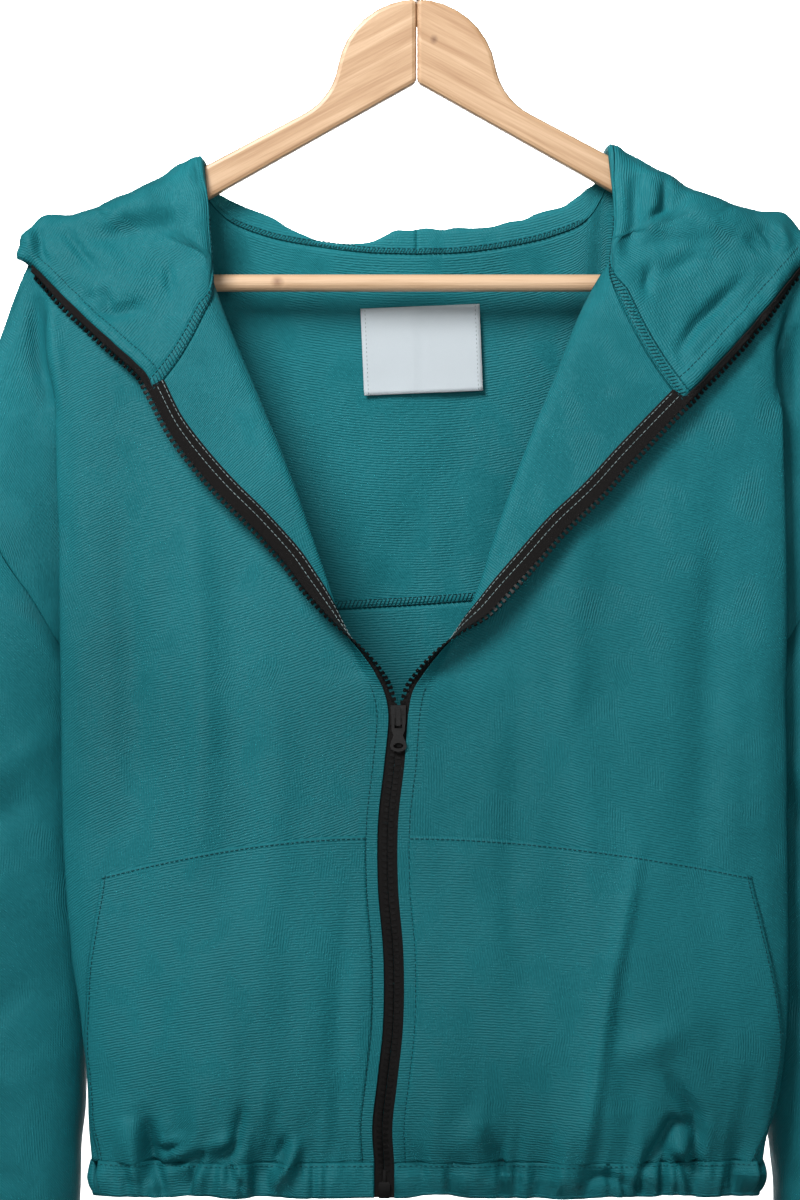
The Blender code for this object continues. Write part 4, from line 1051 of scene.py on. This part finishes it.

# Creases, each as a half width, a height and places as (x, down)
FRONT_MARKS = (
    (4.4, -5.6, (-154, 690), (-151, 712), (-143, 738)),
    (8, 3.5, (-163, 690), (-160, 730)),
    (7, 3, (-137, 700), (-132, 717)),
    (2.6, -3, (-148, 711), (-130, 706)),
    (2.6, -3.2, (-143, 720), (-122, 712), (-130, 736)),
    (3, -3.4, (-98, 684), (-102, 706), (-114, 717)),
    (7, 2.6, (-112, 700), (-108, 709)),
    (3.5, 3.4, (-65, 703), (-74, 719), (-82, 733)),
    (3, -3.2, (-74, 702), (-80, 722)),
    (2.6, -2.6, (-106, 717), (-104, 726), (-98, 732)),
    (7, -2.4, (-35, 545), (-41, 602), (-44, 659), (-42, 693), (-38, 740)),
    (5, -3, (-4, 708), (8, 738)),
    (9, 2.4, (38, 688), (20, 716)),
    (3, -2.6, (44, 706), (52, 736)),
    (4, 3, (126, 538), (110, 610), (101, 673), (93, 718)),
    (10, -2.4, (113, 600), (117, 690)),
    (3.4, -4.4, (139, 663), (149, 678), (157, 690), (158, 702), (156, 714), (164, 728)),
    (3.4, -4.8, (128, 722), (139, 703), (144, 694), (150, 695), (157, 701)),
    (7, 3.6, (143, 706), (152, 712)),
    (2.6, -3.8, (140, 707), (138, 737)),
    (2.6, -3.4, (142, 707), (151, 720), (154, 732)),
    (3, -3.2, (96, 727), (107, 724), (120, 731)),
    (2.6, -3, (125, 724), (127, 738)),
    (9, 2.4, (112, 657), (152, 641)),
    (6, -4, (-219, 222), (-215, 260), (-208, 292)),
    (5, 3, (-210, 228), (-206, 262), (-203, 292)),
    (3.4, -3.4, (218, 220), (209, 254), (208, 286)),
    (5, -3.4, (218, 240), (216, 292)),
    (10, -2, (-172, 300), (-163, 420), (-160, 520)),
    (9, 2, (-128, 330), (-120, 470), (-124, 560)),
    (12, 1.8, (-88, 380), (-80, 520), (-92, 640)),
    (10, -1.8, (172, 310), (166, 430), (158, 560)),
    (11, 1.8, (96, 330), (88, 460), (100, 560)),
    (9, -1.6, (60, 420), (52, 560), (66, 650)),
)
HOOD_MARKS = (
    (2.6, -3.6, (-217, 184), (-216, 199), (-212, 210)),
    (5, 3, (-222, 188), (-219, 206)),
    (2.4, -2.6, (-203, 186), (-184, 210)),
    (7, -3, (-190, 193), (-167, 188), (-133, 183)),
    (9, 2.4, (-182, 181), (-140, 172)),
    (2.2, -2.2, (-142, 207), (-140, 225)),
    (3, -2.8, (-185, 234), (-172, 236), (-155, 231)),
    (2.4, -2.2, (-180, 221), (-173, 234)),
    (2.2, -1.8, (-193, 228), (-181, 226)),
    (2.4, -2.4, (-203, 216), (-195, 233)),
    (5, -3.4, (126, 154), (126, 183), (118, 203)),
    (7, 2.4, (134, 158), (131, 190)),
    (2.4, -2.8, (142, 158), (141, 175), (132, 182)),
    (2.4, -2.4, (133, 208), (130, 224)),
    (3.4, -3.6, (186, 216), (159, 242), (150, 256), (151, 263)),
    (2.6, -3, (189, 190), (199, 202)),
    (4, -3.6, (195, 183), (203, 192), (205, 201)),
    (5, 3, (206, 184), (212, 200)),
    (5, -1.6, (119, 204), (134, 194), (168, 194)),
    (5, -1.6, (140, 214), (160, 203), (176, 206)),
    (10, 2, (150, 172), (182, 190)),
)
BACK_MARKS = (
    (12, 2.5, (-120, 480), (-104, 600), (-112, 715)),
    (10, -2.5, (-60, 520), (-52, 640), (-58, 718)),
    (13, 2.5, (30, 500), (22, 620), (30, 716)),
    (10, -2.5, (96, 470), (108, 600), (100, 718)),
    (9, 2, (150, 520), (142, 640), (146, 716)),
    (12, -1.8, (-150, 330), (-140, 420), (-146, 520)),
    (12, 1.8, (140, 330), (128, 430), (134, 520)),
)
SLEEVE_MARKS = (
    (9, 3, (204, 500), (232, 520), (268, 512)),
    (8, -3, (206, 530), (236, 548), (282, 540)),
    (10, 3, (210, 600), (244, 580), (290, 596)),
    (9, -2.5, (206, 640), (240, 660), (284, 650)),
    (8, 2.5, (216, 700), (250, 688), (286, 704)),
    (7, -3, (214, 752), (246, 744), (278, 756)),
    (10, 2.2, (262, 400), (270, 460), (262, 540)),
)

# How far the sleeves' inner sides stand toward the trunk
SLEEVE_INNER = {
    "right": table("down push", (560, 0), (640, 3), (690, 2.4), (716, 0), (800, 0)),
    "left": table("down push", (680, 0), (705, -3.5), (738, -7), (765, -4), (790, 0)),
}

# Uneven height of the hood's roll behind the neck, as a share of its plain height
ROLL = table(
    "x share",
    *((-112, 2.3), (-100, 2.0), (-84, 1.75), (-74, 1.15), (-66, 0.8), (-54, 0.45), (-40, 0.5)),
    *((-29, 0.65), (-18, 1.1), (-11, 1.5), (-4, 1.45), (7, 1.65), (16, 1.5), (24, 1.62)),
    *((40, 1.55), (52, 1.8), (61, 1.75), (70, 2.05), (84, 2.1), (91, 2.45), (98, 2.7)),
)


def lift_of(points):
    """Uneven lift of the trunk's cloth, the same for every layer at a place."""
    low = np.exp(-np.clip(HEM_SEAM + points[..., 2], 0, None) / GATHER_REACH)
    return rough(points, TRUNK_LUMPS) + GATHER_LIFT * low * gathers(points)


def creased(points):
    """Lift of the fronts' creases, which deepen toward the gathered hem."""
    deep = CREASE + LOW_CREASE * near_end(-points[..., 2] - LOW_CREASE_FROM, 40)
    return deep * marked(points, FRONT_MARKS)


def cloth(name, grid, node, flat, area, held="hung", rests_on=HANGER_ARMS, **how):
    """A shell that stands for a node of cloth."""
    o = grid_object(name, grid, NYLON, **how)
    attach(o, "garment")
    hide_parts(node)


def trim(o, slot, *nodes):
    """A small piece that goes with the garment."""
    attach(o, "garment")
    if nodes:
        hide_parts(*nodes)


def level_zip(grid, from_zip):
    """Bring the cloth beside the closed zip to its edge in one smooth sweep."""
    for line, far in zip(grid, from_zip):
        closed = near_end(-line[-1, 2] - CLOSED_FROM, 20)
        t = near_end(far, ZIP_SWEEP)
        begin = np.interp(ZIP_SWEEP, far[::-1], line[::-1, 1])
        swept = line[-1, 1] + (begin - line[-1, 1]) * t * t * (3 - 2 * t)
        line[:, 1] += closed * (far < ZIP_SWEEP) * (swept - line[:, 1])


def front_shell(side):
    coarse, neck, start = front_grid(side)
    row_cell = np.where(-coarse[1:, -1, 2] > FINE_FROM, FINE_CELL, CELL)
    grid, rows_at, columns_at = refine(coarse, CELL, row_cell=row_cell)
    neck_at, start_at = rows_at[neck], columns_at[start]
    across, along = lengths(grid)
    from_zip = across[:, -1:] - across
    level_zip(grid[neck_at:], from_zip[neck_at:])
    out = normals(grid)
    out *= -np.sign(np.nanmean(out[:, : start_at // 2, 1]))
    down = -grid[..., 2]
    beside = near_end(across[:, start_at][:, None] - across, FOLD_CALM)
    upper = near_end(along[neck_at, start_at] + NECK_FADE - along, NECK_FADE)
    on_panel = (np.arange(grid.shape[1]) <= start_at)[None] | (down > ZIP_TOP)
    lift = lift_of(grid) + on_panel * creased(grid)
    lift *= near_end(across, SEAM_FADE) * near_end(along, SEAM_FADE)
    lift *= 1 - (1 - beside) * upper
    lift *= 1 - (1 - near_end(from_zip, ZIP_CALM)) * near_end(down - CLOSED_FROM, 25)
    lapel = (np.arange(grid.shape[1]) > start_at)[None] & (down < CLOSED_FROM)
    grid += out * np.where(lapel, 0.5 * lift, lift)[..., None]
    return {
        "grid": grid,
        "neck": neck_at,
        "start": start_at,
        "ridge": columns_at[RIDGE_COLUMN],
        "out": out,
        "from_zip": from_zip,
        "coarse": (coarse, neck, start),
    }


def back_shell(rows):
    grid = refine(back_grid(rows), PLAIN_CELL)[0]
    across, along = lengths(grid)
    out = normals(grid)
    out *= np.sign(np.nanmean(out[..., 1]))
    lift = lift_of(grid) + marked(grid, BACK_MARKS)
    lift *= near_end(across, SEAM_FADE) * near_end(across[:, -1:] - across, SEAM_FADE)
    if rows[0] == 0:
        lift *= near_end(along, SEAM_FADE)
    return grid + out * lift[..., None], out


def sleeve_shell(side):
    rings = [armhole(side)]
    for inner, inner_down, outer, outer_down, front, back in zip(*SLEEVE.values()):
        rings.append(sleeve_ring(side, (inner, inner_down), (outer, outer_down), front, back))
    grid = refine(np.array(rings), PLAIN_CELL, ring=True)[0]
    out = normals(grid, ring=True)
    middle = np.nanmean(grid, axis=1, keepdims=True)
    out *= np.sign(((grid - middle) * out).sum(2).mean())
    along = lengths(grid)[1]
    turned = grid * np.array((SIDES[side], 1, 1))
    turned[..., 2] += 21 * np.sign(out[..., 1])
    turned[..., 0] += 9 * SIDES[side]
    lift = rough(grid, SLEEVE_LUMPS) + marked(turned, SLEEVE_MARKS)
    inner = np.clip(-SIDES[side] * out[..., 0], 0, 1) ** 1.5
    push = inner * read(SLEEVE_INNER[side], "push", -grid[..., 2])
    to_cuff = along[-1][None] - along
    lift = (lift + push) * near_end(along, 25) * near_end(to_cuff, 20)
    return grid + out * (lift + 1.2 * np.exp(-to_cuff / 14) * gathers(grid))[..., None]


def cuff_shell(side):
    sizes = [[t[name][k] for name in ("inner", "outer", "front_y", "back_y")] for t, k in CUFF_SIZES]
    rings = []
    for share, size, deep in CUFF_RINGS:
        inner, outer, front, back = sizes[size]
        ring = sleeve_ring(side, (inner, deep), (outer, deep), front, back, CUFF_STEPS)
        way = ring - ring.mean(axis=0)
        way /= np.linalg.norm(way, axis=1)[:, None]
        rings.append(ring + way * (gathers(ring) * (0.9 + 0.9 * math.sin(math.pi * share)))[:, None])
    return refine(np.array(rings), PLAIN_CELL, ring=True)[0]


def hood_shell(side, front, yoke):
    seam = neck_seam(side, front, yoke)
    run = run_of(np.array([s[0] for s in seam]))
    places = (run / run[-1] + np.linspace(0, 1, len(seam))) / 2
    columns = []
    for (point, leave, turned, turn_at), at in zip(seam, places):
        stages = hood_line(side, at, point, leave, turned, turn_at)
        keys = [stages[0][0], *(k for stage in stages for k in stage[1:])]
        if at == 1:
            for key in keys:
                key[0] = 0
        fine = curve(keys, [CURVE_STEPS] * (len(keys) - 1))
        line, begin = [fine[:1]], 0
        for stage, count in zip(stages, HOOD_STEPS):
            end = begin + CURVE_STEPS * (len(stage) - 1)
            line.append(resample(fine[begin : end + 1], np.linspace(0, 1, count + 1))[1:])
            begin = end
        columns.append(np.concatenate(line))
    grid, rows_at, columns_at = refine(np.array(columns).transpose(1, 0, 2), CELL)
    above = np.clip(grid[..., 2] - grid[0, :, 2], 0, None)
    behind = near_end(grid[0, :, 1] - ARM_CLEAR, 6)
    grid[..., 2] += above * behind * (read(ROLL, "share", grid[0, :, 0]) - 1)
    across, along = lengths(grid)
    out = normals(grid)
    roll_at = rows_at[sum(HOOD_STEPS[:2])]
    out *= -np.sign(out[rows_at[2] : roll_at, : columns_at[8], 1].mean())
    in_front = (grid[..., 1] < -4) * near_end(along, 12)
    lift = in_front * CREASE * marked(grid, HOOD_MARKS)
    lift += near_end(along, 20) * rough(grid, HOOD_LUMPS)
    lift *= near_end(across[:, -1:] - across, 15) * near_end(across, 12)
    width, height = TUNNEL[side]
    puckered = 1 + rough(grid, TUNNEL_LUMPS)
    lift += in_front * height * puckered * np.sin(math.pi * near_end(across, width)) ** 0.7
    return {"grid": grid + out * lift[..., None], "out": out, "roll": roll_at}


def pocket_shell(front):
    """A pouch over the lower front, made from the front's own points moved out."""
    grid, out, far, ridge = front["grid"], front["out"], front["from_zip"], front["ridge"]
    first = front["neck"]
    edge_down = -grid[first:, -1, 2]
    lines = []
    for share in np.linspace(0, 1, POCKET_CELLS[0]):
        line = []
        for across in np.linspace(0, 1, POCKET_CELLS[1]):
            top = POCKET["down"][0] + POCKET_DROP * (1 - across) ** POCKET_CURVE
            deep = top + share * (HEM_SEAM - top)
            at = np.interp(deep, edge_down, np.arange(first, len(grid)))
            i = min(int(at), len(grid) - 2)
            mouth = far[i, ridge] - float(read(POCKET, "mouth_from_ridge", deep))
            s = mouth + across * (POCKET_INNER - mouth)
            low, high, way = (
                at_length(s, far[r, ::-1], values[r, ::-1])
                for r, values in ((i, grid), (i + 1, grid), (i, out))
            )
            puff = POCKET_PUFF * math.sin(math.pi * share) * math.sin(math.pi * (0.15 + 0.85 * across))
            off = POCKET_OFF * (0.3 + 0.7 * near_end(s - POCKET_INNER, 12)) + max(puff, 0)
            line.append(low + (high - low) * (at - i) + way * off)
        lines.append(line)
    grid = np.array(lines)
    out = normals(grid)
    return grid, out * -np.sign(out[..., 1].mean())


def lowest_row(side):
    row = front_row(side, 2)[None]
    across = lengths(row)[0]
    level_zip(row, across[:, -1:] - across)
    return row[0]


def hem_shell(fronts, pockets):
    """The gathered casing below the hem seam, with an uneven lower edge."""
    pieces = [lowest_row("right")[::-1]]
    for side, order in (("right", 1), ("left", -1)):
        outs = np.linspace(float(read(SIDE, "out", 2)) + SIDE_SHIFT[side], 0, 12)
        pieces.append(np.array([back_at(side, o, 2) for o in outs])[::order])
    pieces.append(lowest_row("left"))
    path = np.concatenate([pieces[0], pieces[1][1:], pieces[2][1:-1], pieces[3]])
    run = run_of(path)
    seams = [run[len(pieces[0]) - 1], run[-len(pieces[3])]]
    path = resample(path, np.linspace(0, 1, HEM_STEPS))
    run = np.linspace(0, run[-1], HEM_STEPS)
    way = np.gradient(path, axis=0)
    out = np.stack([-way[:, 1], way[:, 0], 0 * way[:, 0]], axis=1)
    out /= np.linalg.norm(out, axis=1)[:, None] * np.sign(out[HEM_STEPS // 2, 1])
    to_end = np.minimum(run, run[::-1])
    held = near_end(to_end, ZIP_CALM)
    for seam in seams:
        held = held * near_end(np.abs(run - seam), SEAM_FADE)
    edge = sum(height * np.sin(path[:, 0] / wave + start) for height, wave, start in HEM_WAVES)
    in_front = near_end(-path[:, 1] - 10, 8)
    rows = []
    for share in np.linspace(0, 1, HEM_ROWS):
        row = path.copy()
        low = HEM - np.clip(edge, 0, None) * near_end(to_end, HEM_END)
        row[:, 2] = -(HEM_SEAM - HEM_LAP + share * (low + HEM_LAP - HEM_SEAM))
        row[:, 0] -= HEM_DRAW * share * np.sign(path[:, 0]) * near_end(np.abs(path[:, 0]) - 150, 45)
        marks = in_front * creased(row) + (path[:, 1] > 10) * marked(row, BACK_MARKS)
        free = held + (near_end(to_end - 8, 22) - held) * near_end(share, 0.4)
        grow = math.sin(math.pi * min(share * 1.1, 1))
        lift = (lift_of(row) + marks + 1.6 * grow * gathers(row)) * free
        lift += (0.3 * grow + POCKET_OFF * in_front) * near_end(to_end, HEM_END)
        rows.append(row + out * lift[:, None])
    rows = np.array(rows)
    for side, (pocket, _) in pockets.items():
        ahead = (path[:, 0] * SIDES[side] > 0) & (path[:, 1] < 0)
        for line in (fronts[side]["grid"][-1], pocket[-1]):
            line = line[np.argsort(line[:, 0])]
            here = ahead & (path[:, 0] > line[0, 0]) & (path[:, 0] < line[-1, 0])
            step = np.interp(rows[0, here, 0], line[:, 0], line[:, 1]) - HEM_AHEAD - rows[0, here, 1]
            rows[:, here, 1] += np.linspace(1, 0, HEM_ROWS)[:, None] ** 2 * step
    return rows, np.broadcast_to(out, rows.shape)


def tape_shell(side, front, hood):
    grid, neck, start = front["grid"], front["neck"], front["start"]
    last = grid.shape[0] - 1
    sections = []
    for i in range(last, neck - 1, -1):
        down_way = grid[min(i + 1, last), -1] - grid[max(i - 1, neck), -1]
        width = run_of(grid[i, start:])[-1]
        closed = near_end(-grid[i, -1, 2] - TAPES_MEET, 8)
        beyond = TAPE_BEYOND + closed * (ZIP_HALF - 0.05 - TAPE_BEYOND)
        inside = min(TAPE_INSIDE, 0.62 * width)
        sections.append(tape_section(grid[i, start:], down_way, SIDES[side], inside, beyond))
    lowest = sections[0]
    for drop in np.linspace(0, HEM - HEM_SEAM, HEM_SECTIONS + 1)[1:]:
        sections.insert(0, (lowest[0] - np.array((0, 0, drop)), lowest[1]))
    cover = hood["grid"]
    for r in range(3, hood["roll"] + 1, 2):
        line = cover[r, EDGE_CELLS::-1]
        down_way = cover[r, 0] - cover[r + 1, 0]
        sections.append(tape_section(line, down_way, SIDES[side], TAPE_INSIDE_HOOD, TAPE_BEYOND))
    return np.array([s[0] for s in sections]), np.array([s[1] for s in sections])


def teeth_of(side, tape, vertices, faces):
    """Moulded teeth along one tape, each with its foot, waist and head."""
    acrosses = tape[:, 0] - tape[:, 1]
    acrosses /= np.linalg.norm(acrosses, axis=1)[:, None]
    edge = tape[:, 1] + acrosses * TAPE_BEYOND
    run = run_of(edge)
    ways = np.gradient(edge, axis=0)
    for s in np.arange(TEETH_FROM + TOOTH_PITCH / 2 * (side == "left"), run[-1] - 2, TOOTH_PITCH):
        place, way, across = (at_length(s, run, values) for values in (edge, ways, acrosses))
        way = unit(way)
        across = unit(across - way * (across @ way))
        block(vertices, faces, place, (across, way, np.cross(way, across)), TOOTH)


def label_shell():
    turn = math.radians(LABEL_TURN)
    lines = []
    for v in np.linspace(-0.5, 0.5, LABEL_CELLS[1]):
        line = []
        for u in np.linspace(-0.5, 0.5, LABEL_CELLS[0]):
            across, up = u * LABEL_SIZE[0], v * LABEL_SIZE[1]
            x = LABEL_MIDDLE[0] + across * math.cos(turn) - up * math.sin(turn)
            down = LABEL_MIDDLE[1] - across * math.sin(turn) - up * math.cos(turn)
            side = "left" if x > 0 else "right"
            y = float(back_y(side, abs(x), down)) - LABEL_OFF
            curl = 0.5 * (2 * abs(v)) ** 6 + 0.25 * math.sin(7 * u + 2) * (2 * v) ** 2
            line.append((x, y - curl, -down))
        lines.append(line)
    return np.array(lines)


def seam_band(lines, outs, width):
    """A narrow raised band beside the last points of lines: its points, the run of its middle stitches, and
    two edge runs of dark thread, of which the one next to the seam paints the shadow line under the band's
    edge and the other is stitching.
    """
    rows = []
    for share, high in ((0, 0.2), (0.12, 1), (0.5, 1.2), (0.88, 1), (1, 0.2)):
        way = from_end(lines, share * width, outs)
        rows.append(from_end(lines, share * width) + way * BAND_LIFT * high)
    # The edge run next to the seam, rows[1], paints the shadow line under the band's edge; rows[3] is
    # stitching
    return np.array(rows), (rows[2], way), [(rows[1], way), (rows[3], way)]


def below_arms(run):
    """The parts of a run of sewing that lie lower than the hanger's arms."""
    low = -run[0][:, 2] > OVER_ARMS
    cuts = np.flatnonzero(np.diff(low.astype(int))) + 1
    parts = zip(*(np.split(values, cuts) for values in (*run, low)))
    return [(path, outs) for path, outs, kept in parts if kept[0] and len(kept) > 2]


# The garment
fronts = {side: front_shell(side) for side in SIDES}
yoke_coarse = back_grid(YOKE_ROWS)
yoke, yoke_out = back_shell(YOKE_ROWS)
body = back_shell(BODY_ROWS)[0]
hoods = {side: hood_shell(side, fronts[side]["coarse"], yoke_coarse) for side in SIDES}
tapes = {side: tape_shell(side, fronts[side], hoods[side]) for side in SIDES}
pockets = {side: pocket_shell(fronts[side]) for side in SIDES}
hem, hem_out = hem_shell(fronts, pockets)

cloth("yoke_shell", yoke, "back_yoke", (0.54, 0.27), 0.11)
cloth("back_shell", body, "back_body", (0.45, 0.33), 0.12)
cloth("hem_shell", hem, "hem_casing", (0.82, 0.022), None, "gathered", ())

# Runs of sewing, and of painted shadow lines beside the seam bands, are kept as (points, ways out of the
# cloth)
overlock, back_overlock, dark_runs, tape_runs = [], [], [], []
vertices, faces = [], []
for side in SIDES:
    front, hood, (tape, tape_out) = fronts[side], hoods[side], tapes[side]
    begin = front["start"]
    cloth("front_shell_" + side, front["grid"], "front_" + side, (0.30, 0.59), 0.12, even_from=begin)
    cloth("sleeve_shell_" + side, sleeve_shell(side), "sleeve_" + side, (0.30, 0.48), 0.11, ring=True)
    cuff = cuff_shell(side)
    cloth("cuff_shell_" + side, cuff, "cuff_" + side, (0.25, 0.027), None, "gathered", (), ring=True)
    cloth("hood_shell_" + side, hood["grid"], "hood_" + side, (0.30, 0.35), 0.07, "folded")
    pocket, pocket_out = pockets[side]
    cut = POCKET_CUT[side]
    cloth("pocket_shell_" + side, pocket, "pocket_" + side, cut, None, "hung", ("front_" + side,))
    o = grid_object("tape_shell_" + side, refine(tape, 2.6)[0], TAPE, 0.7)
    trim(o, "black_tape", "zip_tape_" + side)
    teeth_of(side, tape, vertices, faces)

    columns, column_outs = (hood[key][EDGE_CELLS::-1].transpose(1, 0, 2) for key in ("grid", "out"))
    behind = columns[:, -1, 1] > ARM_CLEAR
    band, middle, edge_stitches_and_shadow_lines = seam_band(columns, column_outs, np.where(behind, BACK_NECK_BAND, NECK_BAND))
    trim(grid_object("neck_band_" + side, band, NYLON), "teal_nylon")
    for part in below_arms(middle):
        (back_overlock if part[0][0, 1] > 0 else overlock).append(part)
    # Dark thread along the band's edges: stitching, and a painted shadow line next to the seam
    dark_runs += [part for run in edge_stitches_and_shadow_lines for part in below_arms(run)]
    grid, out = front["grid"], front["out"]
    closed = slice(int(np.argmax(-np.nan_to_num(grid[:, -1, 2]) > TOPSTITCH_FROM)), None)
    shown = slice(4, hood["roll"])
    dark_runs += [
        (from_end(grid[closed, begin:], TOPSTITCH), out[closed, begin]),
        (from_end(hood["grid"][shown, EDGE_CELLS::-1], TUNNEL[side][0]), hood["out"][shown, 6]),
        (from_end(pocket[POCKET_EDGE::-1].transpose(1, 0, 2), 1.8), pocket_out[0]),
        (from_end(pocket[:, POCKET_EDGE::-1], 2.4), pocket_out[:, 0]),
        (cuff[2], cuff[2] - cuff[2].mean(axis=0)),
    ]
    on_front = slice(HEM_SECTIONS + 1, HEM_SECTIONS + len(grid) - front["neck"])
    for share in TAPE_STITCHES:
        low = int(share)
        path = tape[on_front, low] * (1 - share % 1) + tape[on_front, low + 1] * (share % 1)
        tape_runs.append((path, tape_out[on_front, low]))

for sections in END_BOX:
    place = np.array((read(ZIP_LINE, "x", HEM_SEAM), zip_y(HEM_SEAM) - 0.9, -HEM))
    block(vertices, faces, place, np.eye(3)[[2, 0, 1]], sections)
teeth = mesh_object("zip_teeth", vertices, faces, TEETH)
teeth.data.set_sharp_from_angle(angle=math.radians(40))
trim(teeth, "black_teeth", "zip_chain")
label = label_shell()
trim(grid_object("label_shell", label, LABEL, 0.35), "white_label", "label")

# Sewing, with painted shadow lines beside the seam bands
columns, column_outs = (values[-YOKE_EDGE:].transpose(1, 0, 2) for values in (yoke, -yoke_out))
band, middle, edge_stitches_and_shadow_lines = seam_band(columns, column_outs, YOKE_BAND)
trim(grid_object("yoke_band", band, NYLON), "teal_nylon")
# Dark thread along the yoke band's edges: stitching, and a painted shadow line next to the seam
dark_runs += edge_stitches_and_shadow_lines
label_runs = [(label[:, c], np.tile((0, -1.0, 0), (len(label), 1))) for c in (1, -2)]
for name, runs, finish, slot in (
    ("seam_stitches_and_shadow_lines", dark_runs, DARK_THREAD, "teal_nylon"),
    ("hem_stitches", [(hem[1], hem_out[1])], DARK_THREAD, "teal_nylon"),
    ("seam_overlock", [*overlock, middle], DARK_THREAD, "teal_nylon"),
    ("neck_overlock", back_overlock, DARK_THREAD, "teal_nylon"),
    ("tape_stitches", tape_runs, PALE_THREAD, "black_tape"),
    ("label_stitches", label_runs, PALE_THREAD, "white_label"),
):
    trim(sewn(name, runs, finish, **SEWING[name]), slot)

# Hanger, slider and pull keep their frame's solids
KEPT = {
    "hanger_arm_right": wood("arm_wood_right", 0.49, (-60, -6, -118), 2.0, 0.0),
    "hanger_arm_left": wood("arm_wood_left", -0.49, (10, -6, -77.5), 4.0, -0.04),
    "hanger_bar": wood("bar_wood", 0.0, (-80, -5, -216), 5.5, 0.2),
    "hanger_hook": STEEL,
    "zip_slider": DARK_METAL,
    "zip_pull": DARK_METAL,
}
for node, finish in KEPT.items():
    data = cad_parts[node].data
    data.materials.clear()
    data.materials.append(finish)

# Stage, light and camera


def backdrop():
    """A pale floor that turns up into a wall behind the garment."""
    near, far, turn, top, low = -9.0, 8.0, 0.6, 6.0, 2200
    profile = [(near, 0.0), (far - turn, 0.0)]
    for angle in np.linspace(0, math.pi / 2, 12)[1:]:
        profile.append((far - turn + turn * math.sin(angle), turn - turn * math.cos(angle)))
    profile.append((far, top))
    vertices = [(x * 1000, y * 1000, z * 1000 - low) for x in (-6, 6) for y, z in profile]
    count = len(profile)
    faces = [[i, i + 1, count + i + 1, count + i] for i in range(count - 1)]
    f = Finish("pale_floor", (0.9, 0.9, 0.9), 0.8)
    cloudy = f.noise((1.5, 1.5, 1.5))
    f.feed(Base_Color=f.ramp(cloudy, (0.3, (0.9, 0.9, 0.9)), (0.7, (0.93, 0.93, 0.93))))
    mesh_object("backdrop", vertices, faces, f.material)


def area_light(name, place, target, size, power, spread=math.pi):
    data = bpy.data.lights.new(name, "AREA")
    data.shape = "RECTANGLE"
    data.size, data.size_y = size
    data.energy = power
    data.spread = spread
    o = bpy.data.objects.new(name, data)
    o.location = place
    o.rotation_euler = (Vector(target) - Vector(place)).to_track_quat("-Z", "Y").to_euler()
    o.visible_camera = False
    bpy.context.scene.collection.objects.link(o)


backdrop()
area_light("key", (-0.8, -1.4, 0.9), (0.0, 0, 0.3), (0.8, 0.8), 18, 1.7)
area_light("fill", (0.4, -3.2, -0.1), (0, 0, -0.4), (1.8, 1.8), 18)
area_light("wall_light", (0, 6.4, 1.6), (0, 8.0, -0.6), (5.0, 0.6), 420)
world = bpy.data.worlds.new("studio")
world.use_nodes = True
background = world.node_tree.nodes["Background"].inputs
background["Color"].default_value = (1, 1, 1, 1)
background["Strength"].default_value = 0.15
scene = bpy.context.scene
scene.world = world
scene.view_settings.view_transform = "Standard"
camera = bpy.data.cameras.new("camera")
camera.lens = 138
camera.clip_end = 50
view = bpy.data.objects.new("camera", camera)
view.location = (-0.0096, -2.645, -0.399)
view.rotation_euler = (math.pi / 2, 0, 0)
scene.collection.objects.link(view)
scene.camera = view
